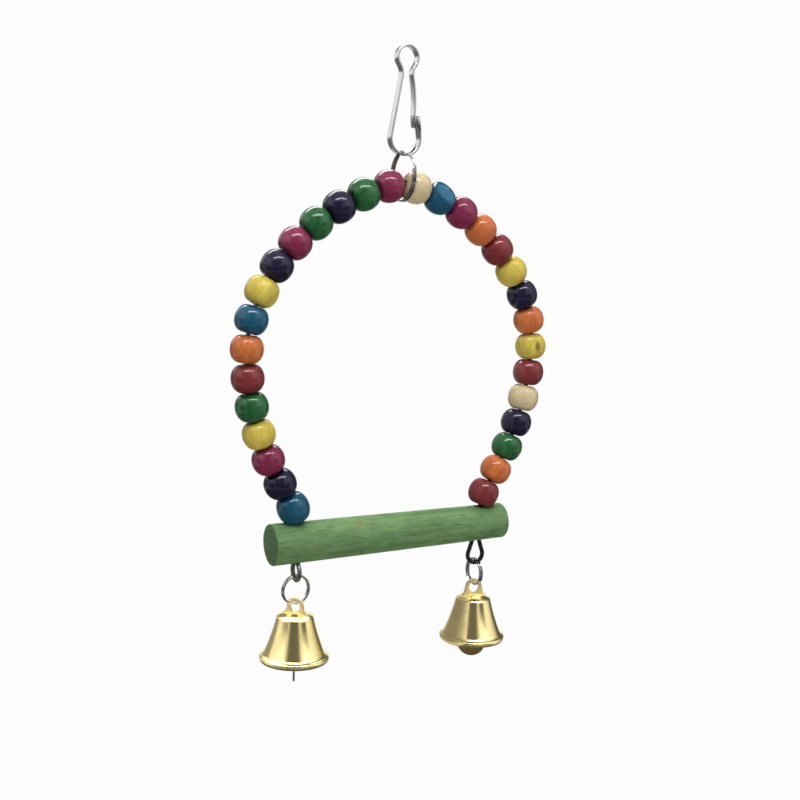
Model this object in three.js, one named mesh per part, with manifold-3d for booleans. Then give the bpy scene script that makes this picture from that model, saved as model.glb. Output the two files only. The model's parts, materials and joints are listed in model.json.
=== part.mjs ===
// A hanging bird swing: a bent-strip spring clip, a split ring, a wire arch threaded with wooden beads,
// a dowel perch on the arch's two legs, and a bell on a split ring under each end of the perch.
// Millimetres, +Z up, +X along the perch. The origin is the inside top of the clip's small loop,
// where the swing hangs.
import * as THREE from "three";
import { mergeVertices } from "three/addons/utils/BufferGeometryUtils.js";
import Module from "manifold-3d";

const wasm = await Module();
wasm.setup();
const rad = THREE.MathUtils.degToRad;

// Clearances
const SPLIT_GAP = 0.3; // between the gate's root and the loop's end of the same strip
const STOP_GAP = 0.3; // between the shut gate and the catch's cheeks
const SEAT_GAP = 0.35; // under a ring, bead or plate that bears on its neighbour
const BEND_SEAT_GAP = 0.45; // under the top ring in the clip's bend
const SLOT_GAP = 0.3; // around the hanger's neck in the bell's crown
const COIL_GAP = 0.45; // between the two turns of a split ring

// Clip, bent from one spring-steel strip
const STRIP_WIDTH = 2.7;
const STRIP_THICKNESS = 0.6;
const CLIP_HEIGHT = 32.8;
const LOOP_WIDTH = 6.8; // over the middle of the strip
const NECK_WIDTH = 3.0; // over the middle of the strip
const NECK_DROP = 7.2; // from the inside top of the loop to the neck
const NECK_BEND = 1.6; // length of each half of the neck's rounded bend
const BODY_WIDTH = 9.8; // over the middle of the strip
const HOOK_RISE = 6.4; // straight end of the hook above the bend
const HOOK_LEAN = 8; // degrees that the hook's end leans in
const CATCH_LENGTH = 3.6;
const CHEEK_DEPTH = 0.45; // beyond the strip's inner face
const CHEEK_THICKNESS = 0.5;
const GATE_LAP = 3.4; // length of gate lying behind the catch
const GATE_BOW = 0.5; // outward bow of the gate at its middle

// Split rings
const TOP_RING_DIAMETER = 15.6;
const TOP_RING_WIRE = 0.75;
const TOP_RING_JOG = 50; // degrees of the cross-over between the two turns
const TOP_RING_JOG_AT = -48; // degrees from the ring's top
const BELL_RING_DIAMETER = 9.6;
const BELL_RING_WIRE = 0.7;
const BELL_RING_JOG = 110;
const BELL_RING_JOG_AT = 180;
const LOOP_STEPS = 24;
const LOOP_SIDES = 6;

// Wooden beads
const BEAD_DIAMETER = 10;
const BEAD_LENGTH = 8.1;
const BEAD_BORE = 3;
const BEAD_RIM = 0.5; // flat rim around the bore
const BEAD_GAP = 0.57;
const CROWN_GAP = 1.1; // between the two crown beads, where the ring lies
const BEAD_SIDES = 12;
const BEAD_STEPS = 6; // along the round of the bead, end to end

// Iron wire arch: five tangent arcs a side from the crown to the perch
const WIRE = 1.4;
const WIRE_SIDES = 8;
const CROWN_RADIUS = 18;
const CROWN_SWEEP = 15.5;
const BROW_RADIUS = 65;
const BROW_SWEEP = 43.5;
const SHOULDER_RADIUS = 42;
const SHOULDER_SWEEP = 35;
const LEG_SWEEP = 31.5; // the leg takes up the rest of the beads' length
const FOOT_RADIUS = 8;
const FOOT_LEAD = 1; // the foot bends back to upright from this far above the last bead's middle
const ARC_STEP = 4.2; // length of wire to each facet on the arch
const FOOT_STEPS = 5;

// Eyes that the wire's ends are turned into under the perch
const EYE_RADIUS = 2.75; // middle of the wire
const EYE_OFFSET = 1.2; // from the leg to the eye's centre
const EYE_ANGLE = 45; // degrees up each side to where the eye's round ends
const EYE_TIP = 1.0; // straight end of the wire past the round
const EYE_BEND = 0.6; // length of each half of the bend from the leg into the eye
const EYE_STEPS = 6;
const LEFT_EYE_NECK = 0.5; // from the perch's underside to the bend
const RIGHT_EYE_NECK = 1.4;

// Perch
const PERCH_DIAMETER = 12;
const PERCH_OVERHANG = 8.1; // past each leg
const PERCH_CHAMFER = 0.5;
const PERCH_HOLE = 2.2;
const PERCH_SIDES = 24;

// Bells: a spun shell, and a stamped hanger plate through a slot in its crown
const BELL_HEIGHT = 14;
const BELL_CROWN_DIAMETER = 10.8;
const BELL_WAIST_DIAMETER = 17.4;
const BELL_LIP_DIAMETER = 21.6;
const BELL_LIP_HEIGHT = 2.8;
const BELL_SHOULDER = 0.7; // rounding of the crown's edge
const BELL_WALL = 0.7;
const BELL_SIDES = 20;
const PLATE = 0.6;
const TAB_HEIGHT = 6; // hanger above the crown
const TAB_TOP_RADIUS = 2.6;
const TAB_FOOT = 8.2;
const TAB_HOLE = 3.2;
const HANGER_NECK = 4;
const HANGER_EAR = 1; // each side, bent out below the crown
const HANGER_EAR_HEIGHT = 0.8;
const TAIL_DROP = 3; // from the crown's underside to the tail's hole
const LINK_HOLE = 2.2;
const LINK_RIM = 0.9; // metal around a link's hole

// Clappers: a stamped paddle on a small wire link
const LINK_RADIUS = 1.8; // middle of the wire
const LINK_WIRE = 0.7;
const CLAPPER_DISC = 9.2;
const CLAPPER_REACH = 7.4; // from the eyelet's hole to the disc's centre
const CLAPPER_STEM = 2.6;

// How each bell's pieces are turned about the vertical, in degrees from the plane of the arch
const LEFT_TURNS = { ring: 0, tab: -65, link: 1, clapper: 68 };
const RIGHT_TURNS = { ring: 100, tab: -12, link: 68, clapper: -31 };

const FINISHES = {
  nickel: { color: 0xb9b9b4, roughness: 0.28, metalness: 1 },
  iron: { color: 0x3c3a38, roughness: 0.5, metalness: 0.9 },
  brass: { color: 0xc9a64a, roughness: 0.22, metalness: 1 },
  clapper: { color: 0x8a7130, roughness: 0.35, metalness: 1 },
  perch: { color: 0x67945a, roughness: 0.75, metalness: 0 },
  magenta: { color: 0x9e2a60, roughness: 0.25, metalness: 0 },
  green: { color: 0x2b6b34, roughness: 0.25, metalness: 0 },
  purple: { color: 0x2e2350, roughness: 0.25, metalness: 0 },
  yellow: { color: 0xd8c83c, roughness: 0.3, metalness: 0 },
  blue: { color: 0x1f6c94, roughness: 0.25, metalness: 0 },
  orange: { color: 0xdf7a32, roughness: 0.25, metalness: 0 },
  red: { color: 0xa32f34, roughness: 0.25, metalness: 0 },
  cream: { color: 0xe6dcb4, roughness: 0.4, metalness: 0 },
};
const LEFT_BEADS = [
  "magenta", "green", "purple", "green", "magenta", "purple", "yellow", "blue",
  "orange", "red", "green", "yellow", "magenta", "purple", "blue",
];
const RIGHT_BEADS = [
  "cream", "blue", "magenta", "orange", "red", "yellow", "purple", "orange",
  "yellow", "red", "cream", "purple", "green", "orange", "red",
];

const materials = {};
for (const [name, finish] of Object.entries(FINISHES)) {
  materials[name] = new THREE.MeshStandardMaterial(finish);
}

function mesh(name, geometry, finish) {
  const piece = new THREE.Mesh(geometry, materials[finish]);
  piece.name = name;
  return piece;
}

function pivot(parent, x, y, z) {
  const group = new THREE.Group();
  group.position.set(x, y, z);
  parent.add(group);
  return group;
}

// Joins and cuts
function solid(geometry) {
  const bare = geometry.clone();
  bare.deleteAttribute("normal");
  bare.deleteAttribute("uv");
  const merged = mergeVertices(bare);
  return new wasm.Manifold(new wasm.Mesh({
    numProp: 3,
    vertProperties: new Float32Array(merged.attributes.position.array),
    triVerts: new Uint32Array(merged.index.array),
  }));
}

function surface(body) {
  const { vertProperties, triVerts, numProp } = body.getMesh();
  const geometry = new THREE.BufferGeometry();
  geometry.setAttribute("position", new THREE.InterleavedBufferAttribute(
    new THREE.InterleavedBuffer(vertProperties, numProp), 3, 0));
  geometry.setIndex(new THREE.BufferAttribute(triVerts, 1));
  return geometry;
}

// A tube through given stations, straight from each to the next
class StationPath extends THREE.Curve {
  constructor(stations) {
    super();
    this.stations = stations;
  }

  indexAt(u) {
    return Math.round(u * (this.stations.length - 1));
  }

  getPointAt(u) {
    return this.stations[this.indexAt(u)].clone();
  }

  getTangentAt(u) {
    const at = this.indexAt(u);
    const before = this.stations[Math.max(at - 1, 0)];
    const after = this.stations[Math.min(at + 1, this.stations.length - 1)];
    return after.clone().sub(before).normalize();
  }
}

function roundSection(diameter, sides) {
  const corners = Array.from({ length: sides }, (_, side) => {
    const angle = (2 * Math.PI * side) / sides;
    return new THREE.Vector2(Math.cos(angle), Math.sin(angle)).multiplyScalar(diameter / 2);
  });
  return new THREE.Shape(corners);
}

function tube(stations, diameter, sides) {
  return new THREE.ExtrudeGeometry(roundSection(diameter, sides), {
    steps: stations.length - 1,
    extrudePath: new StationPath(stations),
  });
}

// An upright plate: a shape drawn in X and Z, as thick as given, centred on its own plane
function plate(shape, thickness, curveSegments) {
  const geometry = new THREE.ExtrudeGeometry(shape, { depth: thickness, bevelEnabled: false, curveSegments });
  return geometry.translate(0, 0, -thickness / 2).rotateX(Math.PI / 2);
}

// A strip of even thickness along the points of its middle line
function ribbon(points, thickness) {
  const half = thickness / 2;
  const sides = points.map((point, at) => {
    const before = points[Math.max(at - 1, 0)];
    const after = points[Math.min(at + 1, points.length - 1)];
    const along = after.clone().sub(before).normalize();
    return new THREE.Vector2(-along.y, along.x).multiplyScalar(half);
  });
  const left = points.map((point, at) => point.clone().add(sides[at]));
  const right = points.map((point, at) => point.clone().sub(sides[at]));
  return new THREE.Shape([...right, ...left.reverse()]);
}

// Angle on a circle where the line from an outside point touches it, on the given side
function touchAngle(centre, radius, point, side) {
  const reach = point.clone().sub(centre);
  return reach.angle() + side * Math.acos(radius / reach.length());
}

function onCircle(centre, radius, angle) {
  return new THREE.Vector2(centre.x + radius * Math.cos(angle), centre.y + radius * Math.sin(angle));
}

function towards(from, to, length) {
  return from.clone().add(to.clone().sub(from).setLength(length));
}

function sameOnce(points) {
  return points.filter((point, at) => at === 0 || point.distanceTo(points[at - 1]) > 1e-4);
}

// Clip
const stripTop = STRIP_THICKNESS / 2;
const bodyRadius = BODY_WIDTH / 2;
const loopRadius = LOOP_WIDTH / 2;
const bendInside = 2 * STRIP_THICKNESS - CLIP_HEIGHT; // upper face of the strip at the clip's bottom
const loopCentre = new THREE.Vector2(0, stripTop - loopRadius);
const bendCentre = new THREE.Vector2(0, bendInside - STRIP_THICKNESS / 2 + bodyRadius);
const neckLeft = new THREE.Vector2(-NECK_WIDTH / 2, -NECK_DROP);
const neckRight = new THREE.Vector2(NECK_WIDTH / 2, -NECK_DROP);
const hookAngle = rad(HOOK_LEAN);
const hookStart = onCircle(bendCentre, bodyRadius, hookAngle);
const hookAlong = new THREE.Vector2(-Math.sin(hookAngle), Math.cos(hookAngle));
const hookInward = new THREE.Vector2(-Math.cos(hookAngle), -Math.sin(hookAngle));
const hookEnd = hookStart.clone().addScaledVector(hookAlong, HOOK_RISE);

function hookRoute() {
  const loopRight = touchAngle(loopCentre, loopRadius, neckRight, 1);
  const loopLeft = touchAngle(loopCentre, loopRadius, neckLeft, -1);
  const bendLeft = touchAngle(bendCentre, bodyRadius, neckLeft, 1);
  const aboveNeck = towards(neckLeft, onCircle(loopCentre, loopRadius, loopLeft), NECK_BEND);
  const belowNeck = towards(neckLeft, onCircle(bendCentre, bodyRadius, bendLeft), NECK_BEND);
  const route = new THREE.Path();
  route.moveTo(neckRight.x, neckRight.y);
  route.absarc(loopCentre.x, loopCentre.y, loopRadius, loopRight, loopLeft, false);
  route.lineTo(aboveNeck.x, aboveNeck.y);
  route.quadraticCurveTo(neckLeft.x, neckLeft.y, belowNeck.x, belowNeck.y);
  route.absarc(bendCentre.x, bendCentre.y, bodyRadius, bendLeft, hookAngle, false);
  route.lineTo(hookEnd.x, hookEnd.y);
  return sameOnce(route.getPoints(9));
}

function cheek(side) {
  const foot = hookEnd.clone().addScaledVector(hookAlong, -CATCH_LENGTH);
  const depth = STRIP_THICKNESS / 2 + CHEEK_DEPTH;
  const shape = new THREE.Shape([
    foot.clone(),
    hookEnd.clone(),
    hookEnd.clone().addScaledVector(hookInward, depth),
    foot.clone().addScaledVector(hookInward, depth),
  ]);
  const edge = (STRIP_WIDTH - CHEEK_THICKNESS) / 2;
  return plate(shape, CHEEK_THICKNESS, 1).translate(0, side * edge, 0);
}

const gateRoot = neckRight.clone().add(new THREE.Vector2(0, -SPLIT_GAP));

function gateShape() {
  const setBack = STRIP_THICKNESS + CHEEK_DEPTH + STOP_GAP; // middle of the gate behind the hook's middle
  const lapped = hookEnd.clone().addScaledVector(hookInward, setBack);
  const tip = lapped.clone().addScaledVector(hookAlong, -GATE_LAP);
  const middle = gateRoot.clone().add(lapped).multiplyScalar(0.5);
  const bow = new THREE.Vector2(-(lapped.y - gateRoot.y), lapped.x - gateRoot.x).setLength(2 * GATE_BOW);
  const route = new THREE.Path();
  route.moveTo(gateRoot.x, gateRoot.y);
  route.quadraticCurveTo(middle.x + bow.x, middle.y + bow.y, lapped.x, lapped.y);
  route.lineTo(tip.x, tip.y);
  return ribbon(sameOnce(route.getPoints(8)), STRIP_THICKNESS);
}

const swing = new THREE.Group();
swing.name = "bird_swing";
const strip = solid(plate(ribbon(hookRoute(), STRIP_THICKNESS), STRIP_WIDTH, 1));
swing.add(mesh("clip_hook", surface(strip.add(solid(cheek(-1))).add(solid(cheek(1)))), "nickel"));
const gatePivot = pivot(swing, gateRoot.x, 0, gateRoot.y);
gatePivot.name = "gate_pivot";
const gate = plate(gateShape(), STRIP_WIDTH, 1).translate(-gateRoot.x, 0, -gateRoot.y);
gatePivot.add(mesh("clip_gate", gate, "nickel"));

// Split ring: one wire of nearly two turns, crossing from the first to the second over the jog
function splitRing(name, diameter, wire, jog, jogAt) {
  const radius = (diameter - wire) / 2;
  const shift = wire + COIL_GAP;
  const length = 720 - jog;
  const steps = Math.round((length / 360) * LOOP_STEPS);
  const stations = Array.from({ length: steps + 1 }, (_, step) => {
    const turned = (length * step) / steps;
    const angle = rad(jogAt + jog / 2 + turned);
    const across = THREE.MathUtils.smoothstep(turned, 360 - jog, 360) - 0.5;
    return new THREE.Vector3(radius * Math.sin(angle), shift * across, radius * Math.cos(angle));
  });
  let least = Infinity;
  for (const [at, station] of stations.entries()) {
    for (const other of stations.slice(at + LOOP_STEPS / 2)) {
      least = Math.min(least, station.distanceTo(other) - wire);
    }
  }
  console.log(`${name}: least gap between turns ${least.toFixed(2)} mm`);
  return mesh(name, tube(stations, wire, LOOP_SIDES), "nickel");
}

const topRingRadius = (TOP_RING_DIAMETER - TOP_RING_WIRE) / 2;
const topRingCentre = bendInside + BEND_SEAT_GAP + TOP_RING_WIRE / 2 - topRingRadius;
const ringPivot = pivot(swing, bendCentre.x, 0, bendCentre.y);
ringPivot.name = "ring_pivot";
const topRing = splitRing("top_split_ring", TOP_RING_DIAMETER, TOP_RING_WIRE, TOP_RING_JOG, TOP_RING_JOG_AT);
topRing.position.set(0, 0, topRingCentre - bendCentre.y);
topRing.rotation.z = Math.PI / 2;
ringPivot.add(topRing);

// Arch: where the wire is, and which way it heads, at a length from the crown along one side.
// The heading is 0 along the perch's direction at the crown and a quarter turn straight down.
const beadPitch = BEAD_LENGTH + BEAD_GAP;
const firstBead = (CROWN_GAP + BEAD_LENGTH) / 2;
const lastBead = firstBead + beadPitch * (LEFT_BEADS.length - 1);
const upperArcs = [
  { length: CROWN_RADIUS * rad(CROWN_SWEEP), turn: rad(CROWN_SWEEP) },
  { length: BROW_RADIUS * rad(BROW_SWEEP), turn: rad(BROW_SWEEP) },
  { length: SHOULDER_RADIUS * rad(SHOULDER_SWEEP), turn: rad(SHOULDER_SWEEP) },
];
const upperLength = upperArcs.reduce((sum, arc) => sum + arc.length, 0);
const footTurn = rad(CROWN_SWEEP + BROW_SWEEP + SHOULDER_SWEEP + LEG_SWEEP - 90);
const ARCS = [
  ...upperArcs,
  { length: lastBead - FOOT_LEAD - upperLength, turn: rad(LEG_SWEEP) },
  { length: FOOT_RADIUS * footTurn, turn: -footTurn },
];
const archLength = ARCS.reduce((sum, arc) => sum + arc.length, 0);

function archPoint(length) {
  let x = 0;
  let z = 0;
  let heading = 0;
  let left = length;
  for (const arc of ARCS) {
    const run = Math.min(left, arc.length);
    const bend = arc.turn / arc.length;
    const next = heading + bend * run;
    x += (Math.sin(next) - Math.sin(heading)) / bend;
    z += (Math.cos(next) - Math.cos(heading)) / bend;
    heading = next;
    left -= run;
  }
  return new THREE.Vector2(x, z - left);
}

function archStations() {
  const lengths = [];
  let start = 0;
  for (const [at, arc] of ARCS.entries()) {
    const steps = at === ARCS.length - 1 ? FOOT_STEPS : Math.ceil(arc.length / ARC_STEP);
    for (let step = 0; step < steps; step += 1) {
      lengths.push(start + (arc.length * step) / steps);
    }
    start += arc.length;
  }
  return [...lengths, archLength].map(archPoint);
}

// Beads sit on the chord of wire inside them, drawn half way to the wire's own middle
function beadSeat(length) {
  const above = archPoint(length - BEAD_LENGTH / 2);
  const below = archPoint(length + BEAD_LENGTH / 2);
  const chordMiddle = above.clone().add(below).multiplyScalar(0.5);
  const middle = archPoint(length).add(chordMiddle).multiplyScalar(0.5);
  const along = below.clone().sub(above).normalize();
  return { middle, along };
}

const beadRadius = BEAD_DIAMETER / 2;
const beadFace = BEAD_BORE / 2 + BEAD_RIM;

// How far a bead reaches below its middle when its bore leans from upright
function beadReach(lean) {
  const round = Math.hypot((BEAD_LENGTH / 2) * Math.cos(lean), (beadRadius - beadFace) * Math.sin(lean));
  return beadFace * Math.sin(lean) + round;
}

const beadSeats = LEFT_BEADS.map((_, at) => beadSeat(firstBead + beadPitch * at));
const crownBead = beadSeats[0].middle;
const footBead = beadSeats[beadSeats.length - 1];
const strandOut = (TOP_RING_WIRE + COIL_GAP) / 2; // middle of each turn from the ring's plane
const ringToBead = beadRadius + TOP_RING_WIRE / 2 + SEAT_GAP;
const ringUnderBead = Math.sqrt(ringToBead ** 2 - (crownBead.x - strandOut) ** 2);
const crownHeight = topRingCentre - topRingRadius + ringUnderBead - crownBead.y;
const footLean = Math.acos(-footBead.along.y);
const perchTop = footBead.middle.y - beadReach(footLean) - SEAT_GAP;
const perchRadius = PERCH_DIAMETER / 2;
const perchAxis = perchTop - perchRadius;
const perchBottom = perchTop - PERCH_DIAMETER;
const legOut = archPoint(archLength).x;

// Heights on the swinging frame are from the wire's crown
const framePivot = pivot(ringPivot, 0, 0, crownHeight - bendCentre.y);
framePivot.name = "frame_pivot";

// Eye: the leg bends out, goes round and comes back up beside itself
function eyeCentre(neck) {
  const round = rad(EYE_ANGLE);
  const straight = (EYE_RADIUS * Math.cos(round) - EYE_OFFSET) / Math.sin(round);
  const drop = EYE_RADIUS * Math.sin(round) + straight * Math.cos(round);
  return new THREE.Vector2(-EYE_OFFSET, perchBottom - neck - drop);
}

function eyeRoute(neck) {
  const round = rad(EYE_ANGLE);
  const centre = eyeCentre(neck);
  const bend = new THREE.Vector2(0, perchBottom - neck);
  const roundStart = onCircle(centre, EYE_RADIUS, round);
  const roundEnd = onCircle(centre, EYE_RADIUS, Math.PI - round);
  const bendEnd = towards(bend, roundStart, EYE_BEND);
  const route = new THREE.Path();
  route.moveTo(bend.x, bend.y + EYE_BEND);
  route.quadraticCurveTo(bend.x, bend.y, bendEnd.x, bendEnd.y);
  route.absarc(centre.x, centre.y, EYE_RADIUS, round, -Math.PI - round, true);
  route.lineTo(roundEnd.x + EYE_TIP * Math.sin(round), roundEnd.y + EYE_TIP * Math.cos(round));
  return sameOnce(route.getPoints(EYE_STEPS));
}

function wireStations() {
  const half = archStations();
  const leftSide = half.map((point) => new THREE.Vector3(-point.x, 0, point.y));
  const rightSide = half.slice(1).map((point) => new THREE.Vector3(point.x, 0, point.y));
  const leftEye = eyeRoute(LEFT_EYE_NECK).map((point) => new THREE.Vector3(-legOut, point.x, point.y));
  const rightEye = eyeRoute(RIGHT_EYE_NECK).map((point) => new THREE.Vector3(legOut + point.x, 0, point.y));
  return [...leftEye.reverse(), ...leftSide.reverse(), ...rightSide, ...rightEye];
}

framePivot.add(mesh("arch_wire", tube(wireStations(), WIRE, WIRE_SIDES), "iron"));

// Beads: a round flattened at both ends around its bore
function beadShape() {
  const half = BEAD_LENGTH / 2;
  const profile = [new THREE.Vector2(BEAD_BORE / 2, -half)];
  for (let step = 0; step <= BEAD_STEPS; step += 1) {
    const angle = Math.PI * (step / BEAD_STEPS - 0.5);
    const out = beadFace + (beadRadius - beadFace) * Math.cos(angle);
    profile.push(new THREE.Vector2(out, half * Math.sin(angle)));
  }
  profile.push(new THREE.Vector2(BEAD_BORE / 2, half), new THREE.Vector2(BEAD_BORE / 2, -half));
  return new THREE.LatheGeometry(profile, BEAD_SIDES);
}

const UP = new THREE.Vector3(0, 1, 0);
const bead = beadShape();
for (const [name, colours, side] of [["left", LEFT_BEADS, -1], ["right", RIGHT_BEADS, 1]]) {
  for (const [at, colour] of colours.entries()) {
    const { middle, along } = beadSeats[at];
    const piece = mesh(`bead_${name}_${String(at + 1).padStart(2, "0")}`, bead, colour);
    piece.position.set(side * middle.x, 0, middle.y);
    piece.quaternion.setFromUnitVectors(UP, new THREE.Vector3(side * along.x, 0, along.y).negate());
    framePivot.add(piece);
  }
}

// Perch: a dowel drilled upright for the two legs
function perchShape() {
  const half = legOut + PERCH_OVERHANG;
  const profile = [
    new THREE.Vector2(0, -half),
    new THREE.Vector2(perchRadius - PERCH_CHAMFER, -half),
    new THREE.Vector2(perchRadius, PERCH_CHAMFER - half),
    new THREE.Vector2(perchRadius, half - PERCH_CHAMFER),
    new THREE.Vector2(perchRadius - PERCH_CHAMFER, half),
    new THREE.Vector2(0, half),
  ];
  let body = solid(new THREE.LatheGeometry(profile, PERCH_SIDES).rotateZ(-Math.PI / 2));
  for (const side of [-1, 1]) {
    const drill = new THREE.CylinderGeometry(PERCH_HOLE / 2, PERCH_HOLE / 2, 2 * PERCH_DIAMETER, WIRE_SIDES);
    body = body.subtract(solid(drill.rotateX(Math.PI / 2).translate(side * legOut, 0, 0)));
  }
  return surface(body);
}

const perch = mesh("perch", perchShape(), "perch");
perch.position.z = perchAxis;
framePivot.add(perch);

// Bell shell, with the crown's top face at height 0
const crownRadius = BELL_CROWN_DIAMETER / 2;
const waistRadius = BELL_WAIST_DIAMETER / 2;
const lipRadius = BELL_LIP_DIAMETER / 2;
const waistHeight = BELL_LIP_HEIGHT - BELL_HEIGHT;

function bellShape(slotTurn) {
  const rimDrop = BELL_WALL * 1.5; // height of the rolled edge below the lip's widest ring
  const profile = [
    new THREE.Vector2(0, 0),
    new THREE.Vector2(crownRadius - BELL_SHOULDER, 0),
    new THREE.Vector2(crownRadius - BELL_SHOULDER * 0.2, -BELL_SHOULDER * 0.4),
    new THREE.Vector2(crownRadius + BELL_SHOULDER * 0.3, -BELL_SHOULDER * 1.5),
    new THREE.Vector2(waistRadius, waistHeight),
    new THREE.Vector2((waistRadius + lipRadius) / 2, waistHeight - BELL_LIP_HEIGHT * 0.25),
    new THREE.Vector2(lipRadius, rimDrop - BELL_HEIGHT),
    new THREE.Vector2(lipRadius - BELL_WALL * 0.3, rimDrop * 0.4 - BELL_HEIGHT),
    new THREE.Vector2(lipRadius - BELL_WALL, -BELL_HEIGHT),
    new THREE.Vector2(lipRadius - BELL_WALL * 1.6, rimDrop * 0.4 - BELL_HEIGHT),
    new THREE.Vector2(waistRadius - BELL_WALL, waistHeight - BELL_WALL),
    new THREE.Vector2(crownRadius - BELL_WALL, -BELL_SHOULDER - BELL_WALL),
    new THREE.Vector2(crownRadius - BELL_SHOULDER - BELL_WALL, -BELL_WALL),
    new THREE.Vector2(0, -BELL_WALL),
  ].reverse();
  const shell = solid(new THREE.LatheGeometry(profile, BELL_SIDES).rotateX(Math.PI / 2));
  const slot = new THREE.BoxGeometry(HANGER_NECK + 2 * SLOT_GAP, PLATE + 2 * SLOT_GAP, 4 * BELL_WALL);
  return surface(shell.subtract(solid(slot.rotateZ(slotTurn))));
}

// Hanger plate, with the crown's top face at height 0
const tabHole = TAB_HEIGHT - TAB_TOP_RADIUS;
const tailHole = -BELL_WALL - TAIL_DROP;
const linkEyelet = LINK_HOLE / 2 + LINK_RIM;

function hole(x, z, diameter) {
  return new THREE.Path().absarc(x, z, diameter / 2, 0, 2 * Math.PI, true);
}

function hangerShape() {
  const top = new THREE.Vector2(0, tabHole);
  const foot = new THREE.Vector2(TAB_FOOT / 2, SEAT_GAP);
  const touch = touchAngle(top, TAB_TOP_RADIUS, foot, 1);
  const neck = HANGER_NECK / 2;
  const ear = neck + HANGER_EAR;
  const earTop = -BELL_WALL - SEAT_GAP;
  const earFoot = earTop - HANGER_EAR_HEIGHT;
  const shape = new THREE.Shape();
  shape.moveTo(foot.x, foot.y);
  shape.absarc(top.x, top.y, TAB_TOP_RADIUS, touch, Math.PI - touch, false);
  shape.lineTo(-foot.x, foot.y);
  shape.lineTo(-neck, foot.y);
  shape.lineTo(-neck, earTop);
  shape.lineTo(-ear, earTop);
  shape.lineTo(-ear, earFoot);
  shape.absarc(0, tailHole, linkEyelet, Math.PI, 2 * Math.PI, false);
  shape.lineTo(ear, earFoot);
  shape.lineTo(ear, earTop);
  shape.lineTo(neck, earTop);
  shape.lineTo(neck, foot.y);
  shape.holes.push(hole(top.x, top.y, TAB_HOLE), hole(0, tailHole, LINK_HOLE));
  return shape;
}

// Clapper paddle, with its eyelet's hole at height 0
function clapperShape() {
  const discRadius = CLAPPER_DISC / 2;
  const stem = CLAPPER_STEM / 2;
  const eyeletTurn = Math.asin(stem / linkEyelet);
  const discTurn = Math.asin(stem / discRadius);
  const quarter = Math.PI / 2;
  const shape = new THREE.Shape();
  shape.absarc(0, 0, linkEyelet, eyeletTurn - quarter, 3 * quarter - eyeletTurn, false);
  shape.absarc(0, -CLAPPER_REACH, discRadius, quarter + discTurn, 5 * quarter - discTurn, false);
  shape.holes.push(hole(0, 0, LINK_HOLE));
  return shape;
}

function addBell(side, neck, turns) {
  const centre = eyeCentre(neck);
  const eyeBottom = centre.y - EYE_RADIUS;
  const [x, y] = side === "left" ? [-legOut, centre.x] : [legOut + centre.x, 0];
  const ringMount = pivot(framePivot, x, y, eyeBottom);
  ringMount.name = `${side}_ring_pivot`;
  const radius = (BELL_RING_DIAMETER - BELL_RING_WIRE) / 2;
  const ringTop = WIRE / 2 + SEAT_GAP + BELL_RING_WIRE / 2;
  const ring = splitRing(
    `${side}_bell_ring`, BELL_RING_DIAMETER, BELL_RING_WIRE, BELL_RING_JOG, BELL_RING_JOG_AT);
  ring.position.z = ringTop - radius;
  ring.rotation.z = rad(turns.ring);
  ringMount.add(ring);

  const holeAt = ringTop - 2 * radius + BELL_RING_WIRE / 2 + SEAT_GAP - TAB_HOLE / 2;
  const bellMount = pivot(ringMount, 0, 0, holeAt);
  bellMount.name = `${side}_bell_pivot`;
  const shell = mesh(`${side}_bell_shell`, bellShape(rad(turns.tab)), "brass");
  const hanger = mesh(`${side}_bell_hanger`, plate(hangerShape(), PLATE, 8), "brass");
  shell.position.z = -tabHole;
  hanger.position.z = -tabHole;
  hanger.rotation.z = rad(turns.tab);
  bellMount.add(shell, hanger);

  const clapperMount = pivot(bellMount, 0, 0, tailHole - tabHole);
  clapperMount.name = `${side}_clapper_pivot`;
  const hang = LINK_HOLE / 2 - SEAT_GAP - LINK_WIRE / 2; // middle of a link's wire from the hole's middle
  const linkRing = new THREE.TorusGeometry(LINK_RADIUS, LINK_WIRE / 2, LOOP_SIDES, 16);
  const link = mesh(`${side}_clapper_link`, linkRing.rotateX(Math.PI / 2), "clapper");
  link.position.z = -hang - LINK_RADIUS;
  link.rotation.z = rad(turns.link);
  const clapper = mesh(`${side}_clapper`, plate(clapperShape(), PLATE, 9), "clapper");
  clapper.position.z = -2 * hang - 2 * LINK_RADIUS;
  clapper.rotation.z = rad(turns.clapper);
  clapperMount.add(link, clapper);
}

addBell("left", LEFT_EYE_NECK, LEFT_TURNS);
addBell("right", RIGHT_EYE_NECK, RIGHT_TURNS);

export default swing;
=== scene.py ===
"""A hanging bird swing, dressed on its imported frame.

Lacquered wooden beads on a bent iron wire, a stained dowel perch, a spring clip of bent steel strip,
split rings, and a brass bell with a stamped clapper under each end of the perch.
"""

import json
import logging
import math
import random
from contextlib import contextmanager
from dataclasses import dataclass, field, replace
from enum import Enum
from typing import Callable, Iterable, Iterator, Sequence, Union

import bpy
from mathutils import Matrix, Quaternion, Vector

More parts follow.
